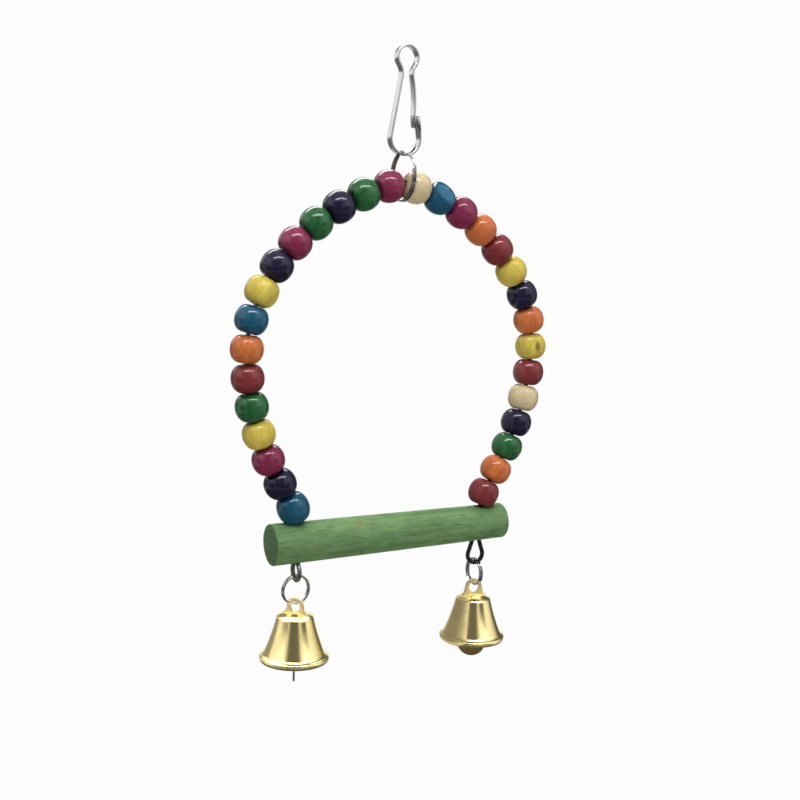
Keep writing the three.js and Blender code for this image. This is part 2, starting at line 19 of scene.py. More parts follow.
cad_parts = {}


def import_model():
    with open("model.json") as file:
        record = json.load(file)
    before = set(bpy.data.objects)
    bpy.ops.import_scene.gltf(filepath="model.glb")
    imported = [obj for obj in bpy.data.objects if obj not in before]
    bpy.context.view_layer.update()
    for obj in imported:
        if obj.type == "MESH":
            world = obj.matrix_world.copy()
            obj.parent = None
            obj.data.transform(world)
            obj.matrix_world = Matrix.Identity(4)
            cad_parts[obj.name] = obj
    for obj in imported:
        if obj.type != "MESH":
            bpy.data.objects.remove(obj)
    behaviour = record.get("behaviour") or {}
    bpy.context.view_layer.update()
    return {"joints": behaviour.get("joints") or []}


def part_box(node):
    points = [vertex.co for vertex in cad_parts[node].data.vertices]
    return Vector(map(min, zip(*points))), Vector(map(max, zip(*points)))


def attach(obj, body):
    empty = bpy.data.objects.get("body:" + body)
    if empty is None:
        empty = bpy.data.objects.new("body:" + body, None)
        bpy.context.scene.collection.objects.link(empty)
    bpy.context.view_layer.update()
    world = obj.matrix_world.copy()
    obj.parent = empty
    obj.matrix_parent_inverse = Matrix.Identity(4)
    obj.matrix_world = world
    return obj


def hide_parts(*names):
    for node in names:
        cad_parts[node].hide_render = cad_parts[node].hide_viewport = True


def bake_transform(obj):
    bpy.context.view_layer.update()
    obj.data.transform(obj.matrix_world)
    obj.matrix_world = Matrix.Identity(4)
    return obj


LOG = logging.getLogger("bird_swing")
MM = 0.001
# Points of a mesh closer than WELD become one. Places closer than NEAR count as the same.
WELD = 0.002 * MM
NEAR = 0.01 * MM
WHITE = (1, 1, 1, 1)
Colour = tuple[float, float, float]
Flat = tuple[float, float]


class Side(Enum):
    """The two ends of the perch, as the photograph shows them."""

    LEFT = "left"
    RIGHT = "right"


# Shader writing


class Signal:
    """One output socket of a shader tree. Arithmetic on it adds Math nodes."""

    def __init__(self, graph: "Graph", socket: bpy.types.NodeSocket) -> None:
        """Wraps a socket.

        Args:
            graph: The tree that the socket is in.
            socket: The output socket.
        """
        self.graph = graph
        self.socket = socket

    def __add__(self, other: "Number") -> "Signal":
        """Adds a number or a signal."""
        return self.graph.math("ADD", self, other)

    def __radd__(self, other: "Number") -> "Signal":
        """Adds to a number."""
        return self.graph.math("ADD", other, self)

    def __sub__(self, other: "Number") -> "Signal":
        """Takes off a number or a signal."""
        return self.graph.math("SUBTRACT", self, other)

    def __rsub__(self, other: "Number") -> "Signal":
        """Takes this off a number."""
        return self.graph.math("SUBTRACT", other, self)

    def __mul__(self, other: "Number") -> "Signal":
        """Multiplies by a number or a signal."""
        return self.graph.math("MULTIPLY", self, other)

    def __rmul__(self, other: "Number") -> "Signal":
        """Multiplies a number."""
        return self.graph.math("MULTIPLY", other, self)

    def __abs__(self) -> "Signal":
        """Gives the size without the sign."""
        return self.graph.math("ABSOLUTE", self)

    def rise(self, low: float, high: float) -> "Signal":
        """Goes smoothly from 0 at low to 1 at high.

        Args:
            low: Where the rise starts.
            high: Where the rise ends.

        Returns:
            The risen signal.
        """
        settings = {"interpolation_type": "SMOOTHSTEP"}
        inputs = {"Value": self, "From Min": low, "From Max": high}
        return self.graph.out("ShaderNodeMapRange", "Result", settings, inputs)


Number = Union[float, Signal]


class Graph:
    """A shader tree being written."""

    def __init__(self, tree: bpy.types.NodeTree) -> None:
        """Empties a tree and starts writing it.

        Args:
            tree: The tree of a material or of the world.
        """
        self.tree = tree
        tree.nodes.clear()

    def node(self, kind: str, settings: dict | None = None, inputs: dict | None = None) -> bpy.types.Node:
        """Adds a node.

        Args:
            kind: The node's type.
            settings: The node's own properties, set first.
            inputs: Values or signals by socket name or number.

        Returns:
            The node.
        """
        made = self.tree.nodes.new(kind)
        for name, value in (settings or {}).items():
            setattr(made, name, value)
        for key, value in (inputs or {}).items():
            if isinstance(value, Signal):
                self.tree.links.new(value.socket, made.inputs[key])
            else:
                made.inputs[key].default_value = value
        return made

    def out(
        self, kind: str, output: str | int, settings: dict | None = None, inputs: dict | None = None
    ) -> Signal:
        """Adds a node and gives one of its outputs.

        Args:
            kind: The node's type.
            output: The output's name or number.
            settings: The node's own properties.
            inputs: Values or signals by socket name or number.

        Returns:
            The output as a signal.
        """
        return Signal(self, self.node(kind, settings, inputs).outputs[output])

    def math(self, operation: str, *values: Number) -> Signal:
        """Adds a Math node on numbers or signals."""
        return self.out("ShaderNodeMath", 0, {"operation": operation}, dict(enumerate(values)))

    def mix(self, factor: Number, first: Colour | Signal, second: Colour | Signal) -> Signal:
        """Mixes two colours.

        Args:
            factor: 0 gives the first colour and 1 the second.
            first: A colour, or a signal that carries one.
            second: A colour, or a signal that carries one.

        Returns:
            The mixed colour.
        """
        first = first if isinstance(first, Signal) else (*first, 1.0)
        second = second if isinstance(second, Signal) else (*second, 1.0)
        return self.out("ShaderNodeMix", 2, {"data_type": "RGBA"}, {0: factor, 6: first, 7: second})

    def local(self) -> Signal:
        """Gives the place on the object, in its own units."""
        return self.out("ShaderNodeTexCoord", "Object")

    def place(self) -> Signal:
        """Gives the place on the object, in millimetres."""
        return self.stretch(self.local(), (1 / MM, 1 / MM, 1 / MM))

    def attribute(self, name: str, output: str) -> Signal:
        """Reads an attribute of the mesh.

        Args:
            name: The attribute.
            output: Vector for a vector, Fac for a number.

        Returns:
            The attribute's value.
        """
        return self.out("ShaderNodeAttribute", output, {"attribute_name": name})

    def stretch(
        self, vector: Signal, scale: Colour, shift: Colour = (0, 0, 0), turn: Colour = (0, 0, 0)
    ) -> Signal:
        """Scales, turns and shifts a place before a pattern is read there.

        Args:
            vector: The place.
            scale: Factors along X, Y and Z.
            shift: Added after the scaling.
            turn: Degrees about X, Y and Z.

        Returns:
            The changed place.
        """
        angles = tuple(math.radians(angle) for angle in turn)
        inputs = {"Vector": vector, "Location": shift, "Rotation": angles, "Scale": scale}
        return self.out("ShaderNodeMapping", "Vector", {}, inputs)

    def noise(self, vector: Signal, scale: float, detail: float = 3, rough: float = 0.55) -> Signal:
        """Reads a cloudy pattern from 0 to 1.

        Args:
            vector: The place.
            scale: Size of the pattern, larger is finer.
            detail: Number of finer layers.
            rough: Strength of the finer layers.

        Returns:
            The pattern.
        """
        inputs = {"Vector": vector, "Scale": scale, "Detail": detail, "Roughness": rough}
        return self.out("ShaderNodeTexNoise", "Fac", {}, inputs)

    def streaks(
        self, vector: Signal, scale: Colour, detail: float = 3, rough: float = 0.55,
        shift: Colour = (0, 0, 0), turn: Colour = (0, 0, 0)
    ) -> Signal:
        """Reads a cloudy pattern that is drawn out along some axes.

        Args:
            vector: The place.
            scale: Size of the pattern along X, Y and Z, larger is finer.
            detail: Number of finer layers.
            rough: Strength of the finer layers.
            shift: Moves the pattern away from others.
            turn: Degrees about X, Y and Z.

        Returns:
            The pattern, from 0 to 1.
        """
        return self.noise(self.stretch(vector, scale, shift, turn), 1.0, detail, rough)

    def vector(self, operation: str, first: Signal, second: Colour | Signal) -> Signal:
        """Adds a Vector Math node on two vectors."""
        return self.out("ShaderNodeVectorMath", "Vector", {"operation": operation}, {0: first, 1: second})

    def length(self, vector: Signal) -> Signal:
        """Measures a vector."""
        return self.out("ShaderNodeVectorMath", "Value", {"operation": "LENGTH"}, {0: vector})

    def axis(self, vector: Signal, name: str) -> Signal:
        """Takes X, Y or Z out of a vector."""
        return self.out("ShaderNodeSeparateXYZ", name, {}, {"Vector": vector})

    def seen(self) -> Signal:
        """Gives 1 to the rays that show a thing itself or its reflection, and 0 to those that light."""
        rays = self.node("ShaderNodeLightPath")
        camera, glossy, through = (
            Signal(self, rays.outputs[f"Is {kind} Ray"]) for kind in ("Camera", "Glossy", "Transmission"))
        return self.math("MAXIMUM", self.math("MAXIMUM", camera, glossy), through)

    def bump(self, height: Signal, strength: float, depth_mm: float) -> Signal:
        """Makes a bumpy normal.

        Args:
            height: The relief, from 0 to 1.
            strength: Share of the relief that shows.
            depth_mm: Height of the relief in millimetres.

        Returns:
            The normal.
        """
        inputs = {"Strength": strength, "Distance": depth_mm * MM, "Height": height}
        return self.out("ShaderNodeBump", "Normal", {}, inputs)

    def surface(self, shader: Signal) -> None:
        """Ends a material's tree in a shader."""
        self.node("ShaderNodeOutputMaterial", {}, {"Surface": shader})

    def principled(self, inputs: dict) -> None:
        """Ends the tree in a Principled shader with these inputs."""
        self.surface(self.out("ShaderNodeBsdfPrincipled", "BSDF", {}, inputs))


def blank(name: str) -> tuple[bpy.types.Material, Graph]:
    """Makes a material with nothing in it.

    Args:
        name: The material's name.

    Returns:
        The material, and its tree to write.
    """
    made = bpy.data.materials.new(name)
    made.use_nodes = True
    return made, Graph(made.node_tree)


# Finishes


@dataclass(frozen=True)
class Finish:
    """A finish that becomes one material."""

    name: str
    variant: str = field(default="finish", kw_only=True)

    def paint(self, graph: Graph) -> None:
        """Writes the finish's shader into a tree."""
        raise NotImplementedError

    def material(self) -> bpy.types.Material:
        """Gives the finish's material, made the first time."""
        label = f"{self.name}_{self.variant}"
        made = bpy.data.materials.get(label)
        if made is None:
            made, graph = blank(label)
            self.paint(graph)
        return made

    def dress(self, piece: bpy.types.Object) -> None:
        """Puts the finish on a piece as its only material."""
        piece.data.materials.clear()
        piece.data.materials.append(self.material())


def deeper(colour: Colour, share: float) -> Colour:
    """Darkens a colour to a share of itself."""
    return (colour[0] * share, colour[1] * share, colour[2] * share)


@dataclass(frozen=True)
class Lacquer(Finish):
    """Stain and clear lacquer over a turned wooden bead."""

    stain: Colour
    rough: float = 0.3
    coat: float = 0.45
    grain: float = 0.35
    bare: Colour = (0.5, 0.33, 0.16)
    lots_apart: Colour = (37, 91, 53)
    knot: Colour | None = None
    chipped: bool = False

    def paint(self, graph: Graph) -> None:
        """Grain follows the bead's own bore, the stain thins at the rims of the bore, and painted shade
        darkens the flat ends where neighbouring beads meet.
        """
        turned = graph.attribute("turned", "Vector")
        lot = graph.attribute("lot", "Fac")
        steps = {number: lot * step for number, step in enumerate(self.lots_apart)}
        spot = graph.vector("ADD", turned, graph.out("ShaderNodeCombineXYZ", 0, {}, steps))
        figure = graph.streaks(spot, (0.5, 0.5, 0.1), 4)
        fibre = graph.streaks(spot, (3.4, 3.4, 0.45), 3, 0.65)
        cloud = graph.noise(spot, 0.3, 2)
        height = abs(graph.axis(turned, "Z"))
        radius = graph.length(graph.stretch(turned, (1, 1, 0)))
        colour = graph.mix(figure.rise(0.42, 0.68) * self.grain, self.stain, deeper(self.stain, 0.45))
        colour = graph.mix(fibre.rise(0.5, 0.72) * (0.8 * self.grain), colour, deeper(self.stain, 0.55))
        lighter = tuple(min(1.0, 1.25 * part + 0.012) for part in self.stain)
        colour = graph.mix(cloud.rise(0.5, 0.8) * 0.5, colour, lighter)
        # Painted shade: the colour darkens towards the bead's flat ends, where neighbouring beads meet in a
        # crease.
        end_crease_shade = height.rise(2.9, 3.7) * 0.45
        colour = graph.mix(end_crease_shade, colour, deeper(self.stain, 0.5))
        worn = radius.rise(1.75, 1.45) * fibre.rise(0.3, 0.5)
        colour = graph.mix(worn * 0.7, colour, self.bare)
        if self.knot:
            away = graph.vector("SUBTRACT", turned, self.knot)
            far = graph.length(graph.stretch(away, (1, 1, 0.6)))
            colour = graph.mix((far + fibre * 0.7).rise(1.75, 0.75) * 0.85, colour, deeper(self.stain, 0.2))
        relief = 0.2 * self.grain
        if self.chipped:
            tear = graph.streaks(spot, (1.9, 1.9, 0.22), 3, 0.65)
            torn = graph.length(turned).rise(4.5, 4.25)
            pale = tuple(2.0 * part + 0.03 for part in self.stain)
            colour = graph.mix(torn * tear.rise(0.44, 0.6) * 0.8, colour, pale)
            relief = 0.6
        graph.principled({
            "Base Color": colour,
            "Roughness": self.rough + (cloud - 0.5) * 0.16 + worn * 0.3,
            "IOR": 1.5,
            "Coat Weight": self.coat - worn * (0.8 * self.coat),
            "Coat Roughness": 0.07,
            "Specular IOR Level": 0.05,
            "Normal": graph.bump(fibre * 0.6 + figure * 0.4, relief, 0.04),
        })


@dataclass(frozen=True)
class DowelStain(Finish):
    """Green stain, unsealed, on an open-grained dowel that lies along X."""

    half_length: float
    axis_height: float
    light: Colour = (0.205, 0.4, 0.145)
    dark: Colour = (0.095, 0.205, 0.07)
    fleck: Colour = (0.035, 0.06, 0.025)
    brown: Colour = (0.21, 0.19, 0.085)

    def paint(self, graph: Graph) -> None:
        """Grain runs along the dowel, and rings with saw marks show on its ends."""
        spot = graph.stretch(graph.place(), (1, 1, 1), (0, 0, -self.axis_height))
        streak = graph.streaks(spot, (0.03, 0.55, 0.55), 6, 0.6)
        fibre = graph.streaks(spot, (0.12, 3.2, 3.2), 4, 0.65)
        pores = graph.streaks(spot, (0.16, 2.1, 2.1), 2, 0.5, (7, 3, 1))
        patch = graph.streaks(spot, (0.06, 0.14, 0.14), 3, 0.6, (3, 9, 4))
        blotch = graph.streaks(spot, (0.15, 0.3, 0.3), 5, 0.7, (2, 5, 8))
        colour = graph.mix((streak * 0.45 + blotch * 0.55).rise(0.33, 0.69), self.light, self.dark)
        colour = graph.mix(fibre.rise(0.46, 0.7) * 0.34, colour, deeper(self.dark, 0.8))
        colour = graph.mix(patch.rise(0.53, 0.72) * 0.6, colour, self.brown)
        flecks = pores.rise(0.61, 0.7)
        colour = graph.mix(flecks * 0.55, colour, self.fleck)
        out = abs(graph.axis(spot, "X")).rise(self.half_length - 0.3, self.half_length - 0.12)
        rings = graph.out(
            "ShaderNodeTexWave", "Fac",
            {"wave_type": "RINGS", "rings_direction": "X", "wave_profile": "SAW"},
            {"Vector": graph.stretch(spot, (0.02, 1, 1), (0, 2.4, 3.6)), "Scale": 0.3, "Distortion": 1.6,
             "Detail": 2.0, "Detail Scale": 0.6})
        saw = graph.streaks(spot, (1, 0.25, 2.6), 2, turn=(24, 0, 0))
        end = graph.mix(rings * 0.55, deeper(self.light, 0.62), deeper(self.dark, 0.55))
        end = graph.mix(saw.rise(0.45, 0.7) * 0.5, end, self.fleck)
        colour = graph.mix(out, colour, end)
        relief = streak * 0.35 + fibre * 0.5 - flecks * 0.5 - saw * out * 0.6
        graph.principled({
            "Base Color": colour,
            "Roughness": 0.72 + fibre * 0.2,
            "IOR": 1.45,
            "Normal": graph.bump(relief, 0.55, 0.18),
        })


@dataclass(frozen=True)
class Plating(Finish):
    """Bright metal plate: nickel on the clip and rings, brass on the bells and clappers."""

    metal: Colour
    dull: Colour
    rough: float
    tarnish: float
    relief: float = 0.12

    def paint(self, graph: Graph) -> None:
        """Fine rubbing marks and a little tarnish in clouds."""
        spot = graph.place()
        cloud = graph.noise(spot, 0.28, 4, 0.6)
        rub = graph.streaks(spot, (2.2, 2.2, 0.5), 4, 0.7)
        specks = graph.noise(spot, 2.6, 2, 0.5)
        stain = cloud.rise(0.45, 0.75) * self.tarnish
        colour = graph.mix(stain, self.metal, self.dull)
        colour = graph.mix(specks.rise(0.66, 0.74) * self.tarnish, colour, deeper(self.dull, 0.6))
        graph.principled({
            "Base Color": colour,
            "Metallic": 1.0,
            "Roughness": self.rough + rub * 0.12 + stain * 0.25,
            "Normal": graph.bump(rub, self.relief, 0.02),
        })


@dataclass(frozen=True)
class DarkIron(Finish):
    """Bare drawn iron wire with worn grey patches, and painted light that makes it greyer towards the left
    end and darker towards the right.
    """

    black: Colour = (0.028, 0.027, 0.026)
    grey: Colour = (0.2, 0.195, 0.185)

    def paint(self, graph: Graph) -> None:
        """Mill scale with worn patches, and painted light that greys more of the wire towards the left."""
        spot = graph.place()
        scale = graph.noise(spot, 1.1, 4, 0.65)
        pits = graph.noise(spot, 5.0, 2)
        # Painted light: the wire greys towards its left end as if lit from that side; this gradient joins
        # the real worn patches in one mask, which also sets their roughness.
        painted_light_left = graph.axis(spot, "X").rise(20, -25)
        wear_and_painted_light = (scale + painted_light_left * 0.28).rise(0.5, 0.78)
        graph.principled({
            "Base Color": graph.mix(wear_and_painted_light, self.black, self.grey),
            "Metallic": 0.85,
            "Roughness": 0.5 - wear_and_painted_light * 0.16 + pits * 0.1,
            "Normal": graph.bump(pits * 0.5 + scale * 0.5, 0.3, 0.03),
        })


class BeadColour(Enum):
    """The stains that the beads come in."""

    MAGENTA = Lacquer("bead_magenta", (0.29, 0.03, 0.094))
    GREEN = Lacquer("bead_green", (0.028, 0.165, 0.05), grain=0.55)
    PURPLE = Lacquer("bead_purple", (0.019, 0.014, 0.046), coat=0.38)
    YELLOW = Lacquer("bead_yellow", (0.87, 0.66, 0.11), rough=0.42, coat=0.3, grain=0.4)
    BLUE = Lacquer("bead_blue", (0.014, 0.115, 0.205))
    ORANGE = Lacquer("bead_orange", (0.79, 0.21, 0.06), rough=0.34, coat=0.42)
    RED = Lacquer("bead_red", (0.265, 0.039, 0.042), rough=0.34)
    CREAM = Lacquer("bead_cream", (0.88, 0.72, 0.42), rough=0.46, coat=0.25, grain=0.3)


NICKEL = Plating("nickel", (0.37, 0.365, 0.35), (0.22, 0.21, 0.195), 0.05, 0.35)
BRASS = Plating("bell_brass", (1.0, 0.83, 0.39), (0.7, 0.54, 0.21), 0.12, 0.3)
HANGER = Plating("bell_brass", (1.0, 0.86, 0.5), (0.8, 0.64, 0.33), 0.4, 0.3, variant="stamped")
CLAPPER = Plating("clapper_brass", (0.56, 0.41, 0.15), (0.32, 0.23, 0.09), 0.28, 0.5)
IRON = DarkIron("iron_wire")


# Hand tools


class Bench:
    """Blender's modelling tools, used on one piece at a time."""

    DRILL_SIDES: int = 40
    CUT_EASE: float = 0.14

    @staticmethod
    def clear() -> None:
        """Deselects every object."""
        bpy.ops.object.select_all(action="DESELECT")

    @staticmethod
    def take(piece: bpy.types.Object) -> None:
        """Selects one piece alone."""
        Bench.clear()
        piece.select_set(True)
        bpy.context.view_layer.objects.active = piece

    @staticmethod
    def label(name: str) -> bpy.types.Object:
        """Names the object that was made last, and its mesh.

        Args:
            name: The name.

        Returns:
            The object.
        """
        piece = bpy.context.active_object
        piece.name = name
        piece.data.name = name
        return piece

    @staticmethod
    @contextmanager
    def editing(piece: bpy.types.Object) -> Iterator[None]:
        """Selects all of a piece in edit mode, and goes back to object mode at the end.

        Args:
            piece: The piece, in object mode.
        """
        Bench.take(piece)
        bpy.ops.object.mode_set(mode="EDIT")
        bpy.ops.mesh.select_all(action="SELECT")
        yield
        bpy.ops.object.mode_set(mode="OBJECT")

    @staticmethod
    @contextmanager
    def picking(piece: bpy.types.Object, chosen: Callable[[Vector], bool]) -> Iterator[None]:
        """Selects the edges whose two ends pass a test, and goes back to object mode at the end.

        Args:
            piece: The piece, in object mode.
            chosen: Says of a place whether it passes.
        """
        with Bench.editing(piece):
            bpy.ops.mesh.select_mode(type="EDGE")
            bpy.ops.mesh.select_all(action="DESELECT")
        vertices = piece.data.vertices
        for edge in piece.data.edges:
            edge.select = all(chosen(vertices[at].co) for at in edge.vertices)
        bpy.ops.object.mode_set(mode="EDIT")
        yield
        bpy.ops.object.mode_set(mode="OBJECT")

    @staticmethod
    def weld(piece: bpy.types.Object) -> None:
        """Joins the points of a piece that meet, and turns its faces outward."""
        with Bench.editing(piece):
            bpy.ops.mesh.remove_doubles(threshold=WELD)
            bpy.ops.mesh.normals_make_consistent(inside=False)

    @staticmethod
    def trace(name: str, points: Sequence[Vector]) -> bpy.types.Object:
        """Draws a line through points by extruding one vertex after another.

        Args:
            name: The new piece's name.
            points: The line's points, in metres.

        Returns:
            The line as a mesh of edges, in object mode.
        """
        Bench.clear()
        bpy.ops.mesh.primitive_plane_add(size=MM)
        piece = Bench.label(name)
        with Bench.editing(piece):
            bpy.ops.mesh.select_mode(type="VERT")
            bpy.ops.mesh.select_all(action="SELECT")
            bpy.ops.mesh.merge(type="CENTER")
            bpy.ops.transform.translate(value=points[0])
            for before, after in zip(points, points[1:]):
                bpy.ops.mesh.extrude_vertices_move(TRANSFORM_OT_translate={"value": after - before})
        return piece

    @staticmethod
    def turn(piece: bpy.types.Object, steps: int) -> None:
        """Spins a traced profile about Z into a closed body.

        Args:
            piece: A profile in the XZ plane.
            steps: Facets around.
        """
        with Bench.editing(piece):
            bpy.ops.mesh.spin(steps=steps, angle=math.tau, center=(0, 0, 0), axis=(0, 0, 1))
        Bench.weld(piece)

    @staticmethod
    def wire(name: str, points: Sequence[Vector], gauge: float, sides: int) -> bpy.types.Object:
        """Bends round wire along a line, with its cut ends eased.

        Args:
            name: The new piece's name.
            points: The middle of the wire, in metres.
            gauge: The wire's diameter, in metres.
            sides: Facets around the wire.

        Returns:
            The wire as a closed mesh.
        """
        Bench.trace(name, points)
        bpy.ops.object.convert(target="CURVE")
        curve = bpy.context.active_object.data
        curve.bevel_depth = gauge / 2
        curve.bevel_resolution = (sides - 4) // 2
        curve.use_fill_caps = True
        bpy.ops.object.convert(target="MESH")
        piece = bpy.context.active_object
        Bench.weld(piece)
        Bench.ease(piece, gauge * Bench.CUT_EASE, 3, 60)
        Bench.smooth(piece, 50)
        return piece

    @staticmethod
    def modify(piece: bpy.types.Object, kind: str, **settings: object) -> None:
        """Adds a modifier to a piece and applies it.

        Args:
            piece: The piece.
            kind: The modifier's type.
            **settings: The modifier's properties.
        """
        Bench.take(piece)
        modifier = piece.modifiers.new(kind.lower(), kind)
        for name, value in settings.items():
            setattr(modifier, name, value)
        bpy.ops.object.modifier_apply(modifier=modifier.name)

    @staticmethod
    def ease(piece: bpy.types.Object, width: float, segments: int, degrees: float) -> None:
        """Rounds the edges of a piece that bend by more than an angle.

        Args:
            piece: The piece.
            width: Size of the rounding, in metres.
            segments: Facets across it.
            degrees: The angle.
        """
        Bench.modify(piece, "BEVEL", width=width, segments=segments, limit_method="ANGLE",
                     angle_limit=math.radians(degrees))

    @staticmethod
    def drill(piece: bpy.types.Object, at: Vector, turn: Vector, diameter: float, depth: float) -> None:
        """Cuts a round hole through a piece.

        Args:
            piece: The piece.
            at: The hole's middle, in metres.
            turn: The drill's turn from upright, in radians about X, Y and Z.
            diameter: The hole's diameter, in metres.
            depth: The drill's length, in metres.
        """
        Bench.clear()
        bpy.ops.mesh.primitive_cylinder_add(
            vertices=Bench.DRILL_SIDES, radius=diameter / 2, depth=depth, location=at, rotation=turn)
        cutter = bpy.context.active_object
        Bench.modify(piece, "BOOLEAN", operation="DIFFERENCE", object=cutter, solver="EXACT")
        bpy.data.objects.remove(cutter)

    @staticmethod
    def smooth(piece: bpy.types.Object, degrees: float) -> None:
        """Shades a piece smooth where its faces meet at less than an angle."""
        Bench.take(piece)
        bpy.ops.object.shade_smooth_by_angle(angle=math.radians(degrees))

    @staticmethod
    def settle(piece: bpy.types.Object, place: Matrix) -> None:
        """Puts a piece in place, with the place in its mesh.

        Args:
            piece: The piece.
            place: Its place in the frame.
        """
        Bench.take(piece)
        piece.matrix_world = place
        bpy.ops.object.transform_apply(location=True, rotation=True, scale=True)

    @staticmethod
    def copy(piece: bpy.types.Object, name: str) -> bpy.types.Object:
        """Copies a piece with a mesh of its own.

        Args:
            piece: The piece to copy.
            name: The copy's name.

        Returns:
            The copy.
        """
        Bench.take(piece)
        bpy.ops.object.duplicate(linked=False)
        return Bench.label(name)

    @staticmethod
    def plate(
        name: str, outline: Sequence[Flat], thickness: float,
        holes: Iterable[tuple[Flat, float]], edge: float
    ) -> bpy.types.Object:
        """Stamps an upright plate with round holes and eased edges.

        Args:
            name: The new piece's name.
            outline: Corners in X and Z, in millimetres, going round once.
            thickness: The plate's thickness in millimetres.
            holes: Each hole's middle and diameter in millimetres.
            edge: Size of the eased edges in millimetres.

        Returns:
            The plate, centred on the plane of X and Z.
        """
        front = [Vector((x, -thickness / 2, z)) * MM for x, z in outline]
        piece = Bench.trace(name, front)
        with Bench.editing(piece):
            bpy.ops.mesh.edge_face_add()
            bpy.ops.mesh.extrude_region_move(TRANSFORM_OT_translate={"value": (0, thickness * MM, 0)})
            bpy.ops.mesh.select_all(action="SELECT")
            bpy.ops.mesh.normals_make_consistent(inside=False)
        level = Vector((math.pi / 2, 0, 0))
        for (x, z), diameter in holes:
            Bench.drill(piece, Vector((x, 0, z)) * MM, level, diameter * MM, 4 * thickness * MM)
        Bench.ease(piece, edge * MM, 2, 40)
        Bench.smooth(piece, 35)
        return piece


def arc(middle: Flat, radius: float, start: float, end: float, steps: int) -> list[Flat]:
    """Points on a circle.

    Args:
        middle: The circle's middle.
        radius: The circle's radius.
        start: First angle in degrees.
        end: Last angle in degrees.
        steps: Number of steps between them.

    Returns:
        The points, both ends among them.
    """
    angles = [math.radians(start + (end - start) * step / steps) for step in range(steps + 1)]
    return [(middle[0] + radius * math.cos(a), middle[1] + radius * math.sin(a)) for a in angles]


def eased(start: Flat, corner: Flat, end: Flat, steps: int) -> list[Flat]:
    """Points on a soft bend from start to end that leans towards a corner.

    Args:
        start: Where the bend starts.
        corner: Where the two straight runs would meet.
        end: Where the bend ends.
        steps: Number of steps.

    Returns:
        The points, both ends among them.
    """
    points = []
    for step in range(steps + 1):
        t = step / steps
        weights = ((1 - t) ** 2, 2 * t * (1 - t), t**2)
        points.append(tuple(
            weights[0] * a + weights[1] * b + weights[2] * c for a, b, c in zip(start, corner, end)))
    return points


def touch(middle: Flat, radius: float, point: Flat, side: int) -> float:
    """Angle on a circle where a line from an outside point touches it.

    Args:
        middle: The circle's middle.
        radius: The circle's radius.
        point: The outside point.
        side: 1 for the anticlockwise touch, -1 for the clockwise one.

    Returns:
        The angle in degrees.
    """
    out = (point[0] - middle[0], point[1] - middle[1])
    reach = math.atan2(out[1], out[0]) + side * math.acos(radius / math.hypot(*out))
    return math.degrees(reach)


def between(start: Flat, end: Flat, length: float) -> Flat:
    """The point a length from start towards end."""
    share = length / math.dist(start, end)
    return (start[0] + (end[0] - start[0]) * share, start[1] + (end[1] - start[1]) * share)


def lift(points: Iterable[Flat], y: float = 0.0) -> list[Vector]:
    """Stands flat millimetre points up in the plane of X and Z, in metres, without repeats."""
    kept: list[Vector] = []
    for x, z in points:
        at = Vector((x, y, z)) * MM
        if not kept or (at - kept[-1]).length > NEAR:
            kept.append(at)
    return kept


def swivel(at: Vector, degrees: float) -> Matrix:
    """A place turned about the vertical."""
    return Matrix.Translation(at) @ Matrix.Rotation(math.radians(degrees), 4, "Z")


# The swing's own pieces


@dataclass
class Joints:
    """Where the frame's joints are, by name."""

    rows: dict[str, dict]

    def at(self, name: str) -> Vector:
        """A joint's place in metres."""
        return Vector(self.rows[name]["pos_m"])

    def axis(self, name: str) -> Vector:
        """A joint's axis."""
        return Vector(self.rows[name]["axis"]).normalized()


def fit(piece: bpy.types.Object, node: str, body: str | None, finish: Finish) -> None:
    """Dresses a piece, hides the solid that it stands for and hangs it on its body.

    Args:
        piece: The finished piece.
        node: The solid.
        body: The body that it moves with, or None where it is blended.
        finish: Its finish.
    """
    finish.dress(piece)
    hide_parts(node)
    if body is not None:
        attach(piece, body)
    LOG.info("%s: %d faces", piece.name, len(piece.data.polygons))


